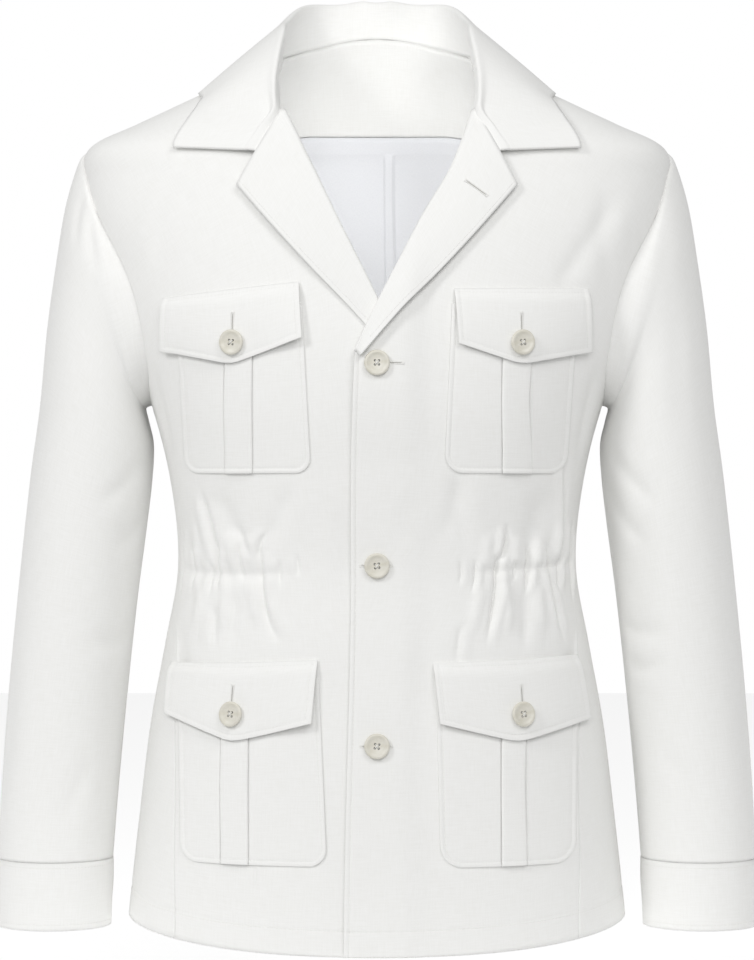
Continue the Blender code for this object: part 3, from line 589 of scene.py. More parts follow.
RIGHT_FRONT_FOLDS = [
    (90, -400, 91, -424, 84, -470, -2.9, 2.6, -0.5), (86, -386, 92, -398, 94, -412, -2.2, 2.2, 0.5),
    (108, -394, 109, -410, 105, -432, -2.4, 2.2, 0.5), (126, -392, 127, -414, 126, -438, -3.4, 2.2, -0.6),
    (141, -354, 133, -382, 125, -420, -3.6, 2.8, 0.5), (132, -410, 132, -424, 134, -444, -2.2, 1.9, 0.5),
    (152, -398, 150, -415, 153, -442, -2.6, 2.2, -0.5), (166, -380, 167, -412, 170, -448, -2.8, 2.6, -0.5),
    (111, -380, 105, -396, 97, -412, -2.4, 3.6, 0.4), (64, -404, 62, -414, 62, -424, -1.6, 2.0, 0.4),
    (76, -408, 77, -420, 75, -434, -1.8, 2.2, 0.5), (127, -446, 128, -462, 129, -484, -2.2, 3.6, 0.4),
    (90, -440, 85, -458, 75, -478, -2.4, 3.8, -0.4), (112, -432, 113, -456, 118, -488, -1.9, 5.5, 0.3),
    (128, -350, 118, -376, 108, -398, -2.2, 8.0, 0.3), (68, -346, 76, -376, 88, -402, -1.9, 7.5, -0.3),
    (99, -426, 97, -442, 92, -466, 2.0, 4.4, 0.0), (118, -426, 120, -444, 122, -470, 2.0, 4.2, 0.0),
    (142, -426, 142, -444, 148, -470, 1.8, 4.2, 0.0), (117, -416, 117, -402, 119, -386, 1.9, 4.2, 0.0),
    (99, -416, 100, -402, 100, -388, 1.6, 4.2, 0.0), (143, -414, 145, -398, 150, -376, 1.8, 4.2, 0.0),
    (56, -418, 118, -422, 184, -416, -2.3, 5.0, 0.0), (163, -456, 158, -500, 161, -556, -1.6, 8.0, 0.3),
    (150, -105, 168, -140, 180, -180, -2.2, 6.0, 0.5), (140, -86, 150, -108, 156, -140, -1.4, 6.0, 0.4),
    (186, -246, 180, -285, 172, -332, -1.8, 6.0, 0.4), (94, -649, 95, -657, 93, -665, -1.0, 1.3, 0.3),
    (36, -360, 24, -400, 30, -440, -0.9, 9.0, 0.3), (174, -655, 169, -688, 172, -712, -1.2, 7.0, 0.3),
]


# %% Make the fronts
def front_grid(top, folds):
    edge = np.array([0, 0.4, 1.2, 2.2, 3.0, 3.6, EDGE_STITCH, 4.9, 6.0, 8.0, 10.5]) * MM / FRONT_WIDTH
    columns = np.concatenate([edge, np.linspace(0.052, 0.26, 17)[:-1], np.linspace(0.26, 1, 140)])
    rows = np.concatenate([HEM_ROWS, np.linspace(HEM_SHARE, GATHER_FOOT, 42)[:-1],
                           np.linspace(GATHER_FOOT, GATHER_HEAD, 84)[:-1],
                           np.linspace(GATHER_HEAD, ARMPIT_SHARE, 18)[:-1],
                           np.linspace(ARMPIT_SHARE, GORGE_ROW, 34)[:-1], np.linspace(GORGE_ROW, 1, 22)])
    left = np.column_stack(front_edge(rows, top))
    right = np.column_stack(side_edge(rows, front=True))
    left[-1, 0] = math.pi / 2
    bottom_angle = left[0, 0] + (right[0, 0] - left[0, 0]) * columns
    bottom = np.column_stack([bottom_angle, hem_height(bottom_angle)])
    left[0], right[0] = bottom[0], bottom[-1]
    top_edge = left[-1] + (right[-1] - left[-1]) * columns[:, None]
    angle, height = blended([bottom, top_edge, left, right], columns, rows, back=False)
    rise = fold_rise(flat_width(angle, height), height, folds)
    rise = rise * ease((1 - columns[None, :]) / 0.03) + SEAT
    if top:
        rise = rise + overlap_rise(body(angle, height)[..., 0], height)
    from_edge = columns[None, :] * FRONT_WIDTH
    below_break = ease((BREAK_HEIGHT - height) / (8 * MM))
    rise += 0.45 * MM * below_break * (bell(from_edge, 1.6, 1.3) - 0.8 * bell(from_edge, EDGE_STITCH, 0.9))
    return on_body(angle, height, rise + hem_rise(rows))


left_grid = front_grid(True, LEFT_FRONT_FOLDS)
right_grid = mirrored(front_grid(False, RIGHT_FRONT_FOLDS))
sheet_of("front_left", left_grid, CLOTH)
sheet_of("front_right", right_grid, CLOTH)
left_outer, left_facing = outer_face(left_grid, CLOTH)
right_outer, right_facing = outer_face(right_grid, CLOTH)
below = left_outer[:, 0, 2] < BREAK_HEIGHT - 4 * MM
edge_line, edge_ways = beside_edge(left_outer[below], left_facing[below], "left", EDGE_STITCH * MM)
hem_lines = [beside_edge(left_outer, left_facing, "foot", HEM_STITCH * MM),
             beside_edge(right_outer, right_facing, "foot", HEM_STITCH * MM)]
stitch_row("opening_stitches", [(edge_line, edge_ways)])

# %% [markdown]
# ## The back
#
# The back is one piece, gathered on the same cord right across. Its gathers differ in depth, spacing and length,
# because cloth on a cord never spaces itself evenly, and long soft folds hang from the deepest ones.

# %% Make the back
BACK_GATHERS = [  # place across, lean, reach up, reach down, depth, half width
    (-176, 4, 34, 30, 2.6, 2.8), (-160, -3, 16, 40, 2.9, 2.6), (-147, 3, 46, 22, 2.4, 3.0),
    (-131, -5, 18, 52, 3.1, 2.8), (-117, 2, 26, 20, 2.2, 2.3), (-102, 5, 58, 34, 3.0, 3.2),
    (-88, -2, 15, 18, 2.0, 2.2), (-74, -4, 32, 56, 2.9, 2.9), (-58, 3, 20, 22, 2.3, 2.5),
    (-43, 2, 44, 30, 2.7, 3.0), (-29, -3, 14, 44, 2.5, 2.6), (-12, 4, 28, 20, 2.1, 2.4),
    (3, -4, 60, 36, 2.8, 3.2), (19, 2, 16, 24, 2.3, 2.3), (34, 5, 30, 60, 2.9, 3.0),
    (50, -2, 24, 18, 2.0, 2.3), (64, -5, 48, 32, 2.8, 2.9), (81, 3, 16, 46, 2.6, 2.6),
    (95, 2, 30, 20, 2.2, 2.4), (109, -4, 20, 38, 2.9, 2.8), (125, 4, 54, 24, 2.6, 3.1),
    (140, -2, 16, 50, 2.7, 2.5), (155, 3, 30, 22, 2.3, 2.6), (171, -4, 22, 36, 2.8, 2.8),
]
BACK_FOLDS = [(x - lean, -420 + up, x, -420, x + lean * 2, -420 - down, -depth, half, 0.5 if lean > 0 else -0.5)
              for x, lean, up, down, depth, half in BACK_GATHERS]
BACK_FOLDS += [
    (-190, -419, 0, -421, 190, -419, -1.4, 5.5, 0.0),
    (-120, -250, -96, -330, -80, -405, -2.0, 11.0, 0.3), (118, -240, 88, -325, 66, -402, -2.2, 12.0, -0.3),
    (-20, -270, -12, -340, 2, -405, -1.4, 10.0, 0.2), (-90, -440, -98, -520, -94, -620, -1.6, 13.0, 0.3),
    (36, -440, 44, -540, 40, -640, -1.4, 14.0, 0.2), (120, -440, 132, -520, 128, -600, -1.6, 12.0, -0.3),
    (-180, -210, -150, -240, -116, -262, -2.2, 8.0, 0.4), (182, -215, 156, -250, 124, -275, -2.0, 8.0, -0.4),
    (-196, -165, -176, -185, -150, -198, -1.2, 7.0, 0.3), (194, -160, 172, -178, 148, -186, -1.4, 7.0, -0.3),
]


SHOULDER_SHARE = 8 / 30  # of the panel's width, for each shoulder


def soften_at_armpits(field, columns, rows):
    """Round the turn from side seam to armhole over a few rows, so that the cloth doesn't crease there."""
    near_armpit = ease((0.07 - np.abs(rows - ARMPIT_SHARE - 0.005)) / 0.04)
    inside = ease(np.minimum(columns, 1 - columns) / 0.012)
    for _ in range(10):
        mean = (np.roll(field, 1, axis=0) + np.roll(field, -1, axis=0)) / 2
        field = field + (mean - field) * 0.5 * near_armpit[:, None] * inside
    return field


def back_grid():
    half = np.concatenate([np.linspace(0, SHOULDER_SHARE, 71)[:-1], np.linspace(SHOULDER_SHARE, 0.5, 64)])
    columns = np.concatenate([half, 1 - half[-2::-1]])
    rows = np.concatenate([HEM_ROWS, np.linspace(HEM_SHARE, GATHER_FOOT, 28)[:-1],
                           np.linspace(GATHER_FOOT, GATHER_HEAD, 64)[:-1],
                           np.linspace(GATHER_HEAD, ARMPIT_SHARE, 14)[:-1], np.linspace(ARMPIT_SHARE, 1, 40)])
    left = np.column_stack(side_edge(rows, front=False))
    right = left.copy()
    right[:, 0] = 2 * math.pi - left[:, 0]
    across = np.minimum(columns, 1 - columns)
    shoulder = np.clip(1 - across / SHOULDER_SHARE, 0, 1)
    neck = np.clip((across - SHOULDER_SHARE) / (0.5 - SHOULDER_SHARE), 0, 1)
    along = smooth(NECKLINE, NECK_SHARE_AT_SIDE + neck * (1 - NECK_SHARE_AT_SIDE))
    top_angle = np.maximum(np.radians(along[:, 0]), math.pi / 2)
    top_angle = np.where(columns > 0.5, 2 * math.pi - top_angle, top_angle)
    top_edge = np.column_stack([top_angle, along[:, 1] * MM + shoulder * (left[-1, 1] - 4 * MM)])
    bottom_angle = left[0, 0] + (right[0, 0] - left[0, 0]) * columns
    bottom = np.column_stack([bottom_angle, hem_height(bottom_angle)])
    left[0], right[0] = bottom[0], bottom[-1]
    top_edge[0], top_edge[-1] = left[-1], right[-1]
    angle, height = blended([bottom, top_edge, left, right], columns, rows, back=True)
    angle, height = soften_at_armpits(angle, columns, rows), soften_at_armpits(height, columns, rows)
    rise = fold_rise(flat_width(math.pi - angle, height), height, BACK_FOLDS)
    return angle, height, rise * ease(across[None, :] / 0.02) + SEAT + hem_rise(rows)


back_angle, back_height, back_rise = back_grid()
back_panel = on_body(back_angle, back_height, back_rise)
sheet_of("back", back_panel, CLOTH)
hem_lines.append(beside_edge(*outer_face(back_panel, CLOTH), "foot", HEM_STITCH * MM))
stitch_row("hem_stitches", hem_lines, pitch=3.4 * MM)

# %% [markdown]
# ## Facing and lining inside the back
#
# Through the neck you see self cloth first, a deep facing that starts at the neck seam, and then a smooth lining
# with a box of spare width beside its centre. They hang one to four millimetres inside the back.

# %% Make the inner sheets
def inside_back(places, foot, head, parts, rise):
    """Places are column numbers of the back's own grid, so the sheet follows it everywhere."""
    grid = []
    for level, part in enumerate(parts):
        row = []
        for number, place in enumerate(places):
            low = min(int(place), back_angle.shape[1] - 2)
            share = place - low
            heights = back_height[:, low] * (1 - share) + back_height[:, low + 1] * share
            angles = back_angle[:, low] * (1 - share) + back_angle[:, low + 1] * share
            z = foot + (min(head, heights[-1] - 0.6 * MM) - foot) * part
            row.append(on_body(np.interp(z, heights, angles), z, -rise[level, number]))
        grid.append(row)
    return np.array(grid)


def level_shares(foot, head, marks, count):
    """Even shares from foot to head, with a few close together round each mark."""
    near = [mark + step * MM for mark in marks for step in (-1.2, -0.5, 0, 0.5, 1.2)]
    return np.unique(np.concatenate([np.linspace(0, 1, count), (np.array(near) - foot) / (head - foot)]))


FACING_FOOT, LINING_FOOT, BAND = -55 * MM, -300 * MM, -67 * MM
FACING_THICKNESS, LINING_THICKNESS = 0.8 * MM, 0.5 * MM
SPARE_START, SPARE_END = 118.5, 130  # the box of spare width, in columns of the back
facing_places = np.linspace(40, 226, 125)
facing_parts = np.linspace(0, 1, 26)
facing_rise = np.full((len(facing_parts), len(facing_places)), 1.2 * MM)
facing = inside_back(facing_places, FACING_FOOT, 1.0, facing_parts, facing_rise)
sheet_of("back_facing", facing, FACING_THICKNESS)
lining_places = np.concatenate([np.linspace(46, SPARE_START - 0.5, 60), np.linspace(SPARE_START, SPARE_END, 34),
                                np.linspace(SPARE_END + 1, 220, 74)])
LINING_HEAD = FACING_FOOT + 1 * MM
lining_parts = level_shares(LINING_FOOT, LINING_HEAD, [BAND], 50)
spare = ease((lining_places - SPARE_START) / 4) * ease((SPARE_END - 0.4 - lining_places) / 2)
heights = LINING_FOOT + (LINING_HEAD - LINING_FOOT) * lining_parts
under_band = ease((BAND - heights) / (6 * MM))
lining_rise = 3.0 * MM - 0.8 * MM * under_band[:, None] + 1.8 * MM * under_band[:, None] * spare[None, :]
lining_grid = inside_back(lining_places, LINING_FOOT, LINING_HEAD, lining_parts, lining_rise)
sheet_of("back_lining", lining_grid, LINING_THICKNESS, finish=lining)

# %% [markdown]
# ## Lapels
#
# A lapel is the facing turned out. It comes up inside the front, rolls over the roll line in a soft half circle,
# tight at the break and fuller towards the collar, and its leaf lies on the chest up to a crisp edge. One grid
# does all three parts, so light runs over the roll without a seam.

# %% Make the lapels
LAPEL_THICKNESS = 1.7 * MM
LAPEL_EDGE_RISE = 6.4 * MM
STITCH_INSET = 4 * MM


def lapel_grid(top):
    shares = np.concatenate([np.linspace(0.0, 0.2, 16)[:-1], np.linspace(0.2, 0.99, 45)])
    roll_table = TOP_ROLL if top else UNDER_ROLL
    heights = BREAK_HEIGHT + shares * (-50 * MM - BREAK_HEIGHT)
    roll_x = smooth(roll_table, heights)[:, 0]
    lift = (overlap_rise(roll_x, heights) if top else 0) + SEAT
    line, out = on_front(roll_x, heights, lift)
    across = unit(np.cross(np.gradient(line, axis=0), out))
    radius = roll_radius(shares)
    base = line + across * radius[:, None] + out * (SEAT + radius)[:, None]
    grid = [on_front(roll_x + step * MM, heights, lift - 0.9 * MM)[0] for step in (26, 18, 10)]
    for turn in np.radians(np.linspace(-90, 90, 15)):
        grid.append(base + out * (radius * math.sin(turn))[:, None] - across * (radius * math.cos(turn))[:, None])
    edge_height = np.interp(shares, [0, 1], [LAPEL_EDGE[0, 0], LAPEL_EDGE[-1, 0]])
    edge_x = smooth(LAPEL_EDGE, edge_height)[:, 0]
    roll_rise = lift + SEAT + 2 * radius
    edge_rise = roll_rise[0] + (LAPEL_EDGE_RISE - roll_rise[0]) * ease((shares - 0.2) / 0.5)
    start_x = roll_x + radius
    for part in np.linspace(0, 1, 30)[1:]:
        x = start_x + (edge_x - start_x) * part
        height = heights + (edge_height - heights) * part
        over = overlap_rise(x, height) * part if top else 0.0
        belly = 0.9 * MM * math.sin(math.pi * part) * ease(shares / 0.3)
        grid.append(on_front(x, height, roll_rise + (edge_rise - roll_rise) * part + over + belly)[0])
    return np.stack(grid, axis=1)


lapels = {"left": lapel_grid(True), "right": mirrored(lapel_grid(False))}
for side, grid in lapels.items():
    sheet_of(f"lapel_{side}", grid, LAPEL_THICKNESS, side=0.0)
    edge = "right" if side == "left" else "left"
    line, ways = beside_edge(*outer_face(grid, LAPEL_THICKNESS / 2), edge, STITCH_INSET)
    stitch_row(f"lapel_{side}_stitches", [(line[6:], ways[6:])])
hole_row, hole_column, hole_slant = 48, 33, np.array([0.79, 0.0, -0.61])
spot, way = [values[hole_row, hole_column] for values in outer_face(lapels["left"], LAPEL_THICKNESS / 2)]
buttonhole("lapel_buttonhole", spot, unit(hole_slant - way * np.dot(hole_slant, way)), way, 19 * MM)
print("lapel buttonhole at", [round(float(v), 3) for v in spot])

# %% [markdown]
# ## Collar
#
# The collar stands up round the back of the neck, folds over softly, and falls to two long points. Its sections
# are fans: a stand, a fold drawn as a curve with a handle at each end, and a leaf that reaches the free edge.

# %% Make the collar
# The last row, past the centre back, only gives the curve its slope there.
# share, seam angle, seam height, seam rise, stand tilt, stand, fold width, edge angle, edge height, edge rise
COLLAR_SECTIONS = np.array([
    (0.00, 19.9, -88.0, 6.9, 178, 7, 0.4, 39.3, -83, 6.5),
    (0.12, 18.7, -69.5, 6.9, 172, 6, 0.8, 40.4, -70, 7.0),
    (0.24, 20.4, -50.0, 5.0, 118, 5, 3.6, 44.0, -57, 7.0),
    (0.36, 32.5, -24.5, 1.4, 80, 15, 5.5, 50.3, -44.5, 5.2),
    (0.50, 62.0, -2.5, 0.8, 57, 22.5, 5.0, 64.0, -33, 3.0),
    (0.60, 90.0, 4.0, 0.8, 44, 25, 5.0, 90.0, -26, 2.8),
    (0.72, 124.0, 11.0, 0.8, 37, 38.5, 6.0, 121.0, -14, 4.5),
    (0.86, 156.0, 20.5, 0.8, 31, 34.5, 7.0, 152.0, -3, 6.0),
    (1.00, 180.0, 24.0, 0.8, 30, 27, 7.0, 180.0, 0, 6.0),
    (1.14, 204.0, 20.5, 0.8, 31, 34.5, 7.0, 208.0, -3, 6.0),
])
COLLAR_THICKNESS = 1.9 * MM
HALF_COLLAR = 80  # columns from the front end to the centre back


def collar_grid():
    half = np.linspace(0, 1, HALF_COLLAR)
    table = smooth(COLLAR_SECTIONS, half)
    seam_angle, edge_angle = np.radians(table[:, 0]), np.radians(table[:, 6])
    seam_height, seam_rise = table[:, 1] * MM, table[:, 2] * MM
    tilt, stand, fold = np.radians(table[:, 3]), table[:, 4] * MM, table[:, 5] * MM
    edge = on_body(edge_angle, table[:, 7] * MM, table[:, 8] * MM)
    out = outward(seam_angle, seam_height)
    seam = on_body(seam_angle, seam_height, seam_rise)
    away = edge - seam
    away = unit(away - out * np.sum(away * out, axis=1)[:, None])
    up = -away * np.cos(tilt)[:, None] + out * np.sin(tilt)[:, None]
    over = out * np.cos(tilt)[:, None] + away * np.sin(tilt)[:, None]
    stand_top = seam + up * (stand + 1.4 * MM)[:, None]
    fall = unit(edge - stand_top)
    leaf_start = stand_top + over * fold[:, None] + fall * (3 * MM)
    grip = (0.75 * fold + 1 * MM)[:, None]
    rows = [seam + (stand_top - seam) * part for part in np.linspace(0, 1, 10)]
    for t in np.linspace(0, 1, 14)[1:]:
        rows.append(stand_top * (1 - t) ** 3 + (stand_top + up * grip) * 3 * t * (1 - t) ** 2
                    + (leaf_start - fall * grip) * 3 * t * t * (1 - t) + leaf_start * t ** 3)
    for part in np.linspace(0, 1, 24)[1:]:
        belly = 0.5 * MM * math.sin(math.pi * part) * ease(half / 0.2)
        rows.append(leaf_start + (edge - leaf_start) * part + out * belly[:, None])
    grid = np.stack(rows, axis=0)
    return np.concatenate([grid, (grid * (-1, 1, 1))[:, -2::-1]], axis=1)


collar = collar_grid()
from_front = 1 - np.abs(np.linspace(-1, 1, 2 * HALF_COLLAR - 1))
thin = 1 - 0.85 * ease((0.34 - from_front[None, :]) / 0.1) * ease(1 - np.arange(len(collar))[:, None] / 7)
sheet_of("collar", collar, COLLAR_THICKNESS,
         side=0.0, thinned=thin)
face, ways = outer_face(collar, COLLAR_THICKNESS / 2)
stitch_row("collar_stitches", [beside_edge(face[:, 4:-4], ways[:, 4:-4], "head", STITCH_INSET),
                               beside_edge(face[24:-3], ways[24:-3], "left", STITCH_INSET),
                               beside_edge(face[24:-3], ways[24:-3], "right", STITCH_INSET)])

# %% [markdown]
# ## Sleeves and cuffs
#
# A sleeve is a tube of ellipses from the armhole to the wrist. Its head starts under the edge of the panels, so
# the armhole shows as one crisp line. Folds are few on the outer side and soft in the bend of the elbow. The
# cuff is a separate band, a little thicker and wider than the sleeve's end.

# %% Sections and folds of a sleeve
# inner side x and height, outer side x and height, middle y, half depth, in millimetres
SLEEVE_SECTIONS = np.array([
    (190, -288, 244, -84, 3, 67), (191, -293, 255, -119, 3, 68), (188, -303, 263, -165, 3, 68),
    (184, -320, 271, -222, 2, 68), (185, -348, 277, -285, 1, 67), (189, -385, 285, -345, -1, 65),
    (197, -450, 294, -432, -5, 61), (205, -530, 302, -522, -11, 56), (211, -600, 307, -598, -17, 51),
    (215, -654, 309, -654, -22, 48),
]) * MM
CUFF_DEPTH = 54 * MM
AROUND = 112
TURNS = np.arange(AROUND) * 2 * math.pi / AROUND
# turn in degrees (0 outer side, 90 front, 180 inner side) and height, as in the fronts' table
LEFT_SLEEVE_FOLDS = [
    (150, -318, 128, -345, 96, -372, -1.8, 7.0, 0.3), (160, -350, 140, -380, 112, -402, -1.6, 7.0, 0.3),
    (170, -455, 140, -470, 100, -462, -1.8, 7.0, 0.3), (165, -490, 138, -500, 108, -486, -1.4, 6.0, 0.3),
    (60, -200, 72, -260, 70, -330, -1.2, 12.0, 0.2), (200, -440, 225, -462, 262, -458, -1.8, 8.0, 0.3),
    (210, -480, 240, -496, 275, -484, -1.4, 7.0, -0.3), (230, -330, 255, -352, 290, -350, -1.4, 9.0, 0.3),
    (130, -560, 105, -590, 80, -640, -1.2, 9.0, 0.2), (250, -560, 262, -600, 258, -648, -1.4, 9.0, 0.3),
    (20, -500, 28, -560, 22, -640, -0.9, 12.0, 0.2), (95, -300, 104, -420, 96, -560, 0.9, 16.0, 0.0),
]
RIGHT_SLEEVE_FOLDS = [
    (58, -120, 66, -150, 88, -186, -2.6, 5.0, 0.5), (44, -112, 46, -134, 58, -168, -1.6, 5.0, 0.4),
    (152, -322, 130, -350, 98, -368, -1.6, 8.0, 0.3), (168, -372, 146, -392, 118, -402, -1.4, 7.0, 0.3),
    (168, -462, 138, -480, 104, -470, -1.6, 8.0, 0.3), (205, -452, 232, -470, 266, -462, -1.6, 8.0, 0.3),
    (214, -330, 244, -350, 282, -342, -1.6, 9.0, -0.3), (128, -570, 110, -600, 92, -644, -1.2, 9.0, 0.2),
    (246, -545, 258, -590, 262, -640, -1.3, 9.0, 0.3), (24, -480, 30, -540, 26, -620, -0.9, 12.0, 0.2),
]


def ellipse(section, thickness):
    inner_x, inner_z, outer_x, outer_z, middle, depth = section
    inner, outer = np.array([inner_x, middle, inner_z]), np.array([outer_x, middle, outer_z])
    half = (outer - inner) / 2
    half = half * (1 - thickness / np.linalg.norm(half))
    return ((outer + inner) / 2 + half * np.cos(TURNS)[:, None]
            - np.array([0, depth - thickness, 0]) * np.sin(TURNS)[:, None])


# %% Make the sleeves
def sleeve_grid(folds):
    hole = smooth(ARMHOLE, np.degrees(TURNS))
    angle, height = np.radians(hole[:, 0]), hole[:, 1] * MM
    out = outward(angle, height)
    edge = on_body(angle, height)
    into_hole = unit(np.cross(out, np.roll(edge, -1, axis=0) - np.roll(edge, 1, axis=0)))
    loops = [ellipse(section, 1.6 * MM) for section in SLEEVE_SECTIONS]
    for loop, share in zip(loops, (0.9, 0.5, 0.2)):
        loop[:, 1] += (edge[:, 1] - loop[:, 1]) * share
    heads = [edge - into_hole * 6 * MM - out * 1.6 * MM, edge + into_hole * 0.6 * MM - out * 0.9 * MM]
    stations = np.array([-0.5, 0.0] + [k + 1.0 for k in range(len(loops))])
    stacked = np.column_stack([stations, np.stack(heads + loops).reshape(len(stations), -1)])
    fine = np.concatenate([np.linspace(-0.5, 0, 5)[:-1], np.linspace(0, 6, 70)[:-1], np.linspace(6, 10, 84)])
    grid = smooth(stacked, fine).reshape(len(fine), AROUND, 3)
    grid[:4] = heads[0] + (heads[1] - heads[0]) * ((fine[:4, None, None] + 0.5) / 0.5)
    middle = grid.mean(axis=1, keepdims=True)
    away = unit((grid - middle) * (1, 1, 0.25))
    width = np.broadcast_to(np.degrees(TURNS)[None] * MM, grid.shape[:2])
    rise = fold_rise(width, grid[..., 2], folds) * ease(np.maximum(fine - 0.15, 0))[:, None]
    return grid + away * rise[..., None]


def cuff_grid():
    loops = []
    for part in np.linspace(0, 1, 18):
        down = 0.4 * MM + CUFF_DEPTH * part
        grow = 1.0 * MM * math.sin(math.pi * min(part * 1.6, 1)) * 0.6 + 0.2 * MM
        lower = SLEEVE_SECTIONS[-1] + np.array([0.03 * down - grow, -down, 0.01 * down + grow, -down,
                                                -0.05 * down, grow])
        loops.append(ellipse(lower, 2.0 * MM))
    return np.stack(loops)


SLEEVE_THICKNESS, CUFF_THICKNESS = 1.2 * MM, 1.8 * MM
sleeves = {"left": sleeve_grid(LEFT_SLEEVE_FOLDS), "right": mirrored(sleeve_grid(RIGHT_SLEEVE_FOLDS))}
for side, grid in sleeves.items():
    sheet_of(f"sleeve_{side}", grid, SLEEVE_THICKNESS, closed=True)
for side, grid in (("left", cuff_grid()), ("right", mirrored(cuff_grid()))):
    sheet_of(f"cuff_{side}", grid, CUFF_THICKNESS, closed=True)
    face, ways = [np.concatenate([values, values[:, :1]], axis=1)
                  for values in outer_face(grid, CUFF_THICKNESS, closed=True)]
    stitch_row(f"cuff_{side}_stitches", [beside_edge(face, ways, "foot", STITCH_INSET),
                                         beside_edge(face, ways, "head", 5 * MM)])

# %% [markdown]
# ## Pockets and flaps
#
# Each patch pocket has rounded lower corners and a box pleat: two folds whose edges meet the pocket with a small
# shadow. The flap is cut to a shallow point and covers the pocket's mouth. Both are made from the front's own
# surface, moved out, so that they lie on it everywhere.

# %% Outlines of pockets and flaps, in millimetres from the centre and in height
# inner edge at the top and the foot, outer edge at the top and the foot, top, foot, corner, the pleat's two folds
POCKETS = {
    "chest_left": (58.7, 52.4, 157, 150, -209, -341, 15, 98.0, 119.0),
    "chest_right": (58.6, 51.5, 157, 152, -209, -341, 12, 97.6, 118.0),
    "hip_left": (46.0, 49.5, 158, 156, -503, -649, 17, 97.4, 115.0),
    "hip_right": (45.4, 39.0, 157, 154, -503, -648, 14, 100.7, 121.0),
}
# x and height of the inner top, outer top, inner corner, tip and outer corner, lift of the inner corner
FLAPS = {
    "chest_left": ((60.2, -198.0), (165.7, -195.5), (63.0, -240.5), (111, -255.7), (166.5, -243.9), 1.0),
    "chest_right": ((61.0, -192.5), (168.0, -203.0), (57.5, -236.5), (112, -255.7), (167.5, -243.1), 4.2),
    "hip_left": ((43.5, -490.9), (158.0, -487.4), (48.5, -537.8), (109, -553.2), (166.0, -538.1), 0.8),
    "hip_right": ((46.1, -488.5), (162.6, -493.7), (50.0, -537.8), (112, -553.2), (164.0, -534.1), 4.0),
}
FLAP_TIP = 111 * MM
POCKET_THICKNESS, FLAP_THICKNESS = 1.0 * MM, 1.3 * MM
POCKET_STITCH = 3.6


# %% Make pockets and flaps
def pocket_lines(z, outline, wander):
    """At a height: the share of the way up, the pocket's inner and outer edge, and its pleat's two folds."""
    inner_top, inner_foot, outer_top, outer_foot, top, foot, _, first, last = [v * MM for v in outline]
    share = (z - foot) / (top - foot)
    sway = wander * MM * np.sin(9 * share + 1.0)
    return (share, inner_foot + (inner_top - inner_foot) * share, outer_foot + (outer_top - outer_foot) * share,
            first + 0.3 * sway, last + sway)


def pocket_rise(x, z, outline, wander):
    """How far a place of the pocket lies above the body: a raised box pleat and a full, turned edge."""
    foot, corner = outline[5] * MM, outline[6] * MM
    share, inner, outer, first, last = pocket_lines(z, outline, wander)
    box = ease((x - first + 0.5 * MM) / MM) * ease((last + 0.5 * MM - x) / MM)
    side, low = np.minimum(x - inner, outer - x), z - foot
    round_corner = corner - np.hypot(corner - side, corner - low)
    edge = np.where((side < corner) & (low < corner), round_corner, np.minimum(side, low))
    rise = 1.9 * MM + 1.3 * MM * box + 0.3 * MM * np.sin(2.2 * share + x / (14 * MM))
    return rise + 0.45 * MM * bell(edge, 1.4, 1.2) - 0.35 * MM * bell(edge, POCKET_STITCH, 0.9)


def pocket_grid(outline, wander):
    top, foot, corner, first, last = [v * MM for v in outline[4:]]
    near = np.array([-0.7, -0.35, 0, 0.35, 0.7]) * MM
    edge = np.array([0, 0.5, 1.3, 2.1, 2.9, POCKET_STITCH, 4.4]) * MM
    heights = np.concatenate([foot + corner * (1 - np.cos(np.linspace(0, math.pi / 2, 18))),
                              np.linspace(foot + corner, top, 42)[1:]])
    grid = []
    for z in heights:
        _, inner, outer, first_fold, last_fold = pocket_lines(z, outline, wander)
        rest = max(corner - (z - foot), 0)
        tuck = corner - math.sqrt(corner ** 2 - rest ** 2)
        start, end = inner + tuck, outer - tuck
        x = np.concatenate([start + edge, np.linspace(start + 6.5 * MM, first - 2.5 * MM, 16), first_fold + near,
                            np.linspace(first + 2.5 * MM, last - 2.5 * MM, 8), last_fold + near,
                            np.linspace(last + 2.5 * MM, end - 6.5 * MM, 16), end - edge[::-1]])
        grid.append(on_front(x, z, pocket_rise(x, z, outline, wander))[0])
    return np.stack(grid, axis=0)


def pocket_stitches(outline, wander):
    """Down one side, round both corners and up the other, in the groove inside the edge."""
    inner_top, inner_foot, outer_top, outer_foot, top, foot, corner, _, _ = [v * MM for v in outline]
    inset = POCKET_STITCH * MM
    turn = np.linspace(0, math.pi / 2, 12)
    round_x, round_z = corner - (corner - inset) * np.cos(turn), corner - (corner - inset) * np.sin(turn)
    x = np.concatenate([[inner_top + inset], inner_foot + round_x,
                        outer_foot - round_x[::-1], [outer_top - inset]])
    z = np.concatenate([[top - 2 * MM], foot + round_z, foot + round_z[::-1], [top - 2 * MM]])
    path = np.column_stack([x, z])
    walked = walk(path)
    x, z = read_line(np.linspace(0, walked[-1], 160), walked, path).T
    return on_front(x, z, pocket_rise(x, z, outline, wander) + POCKET_THICKNESS)


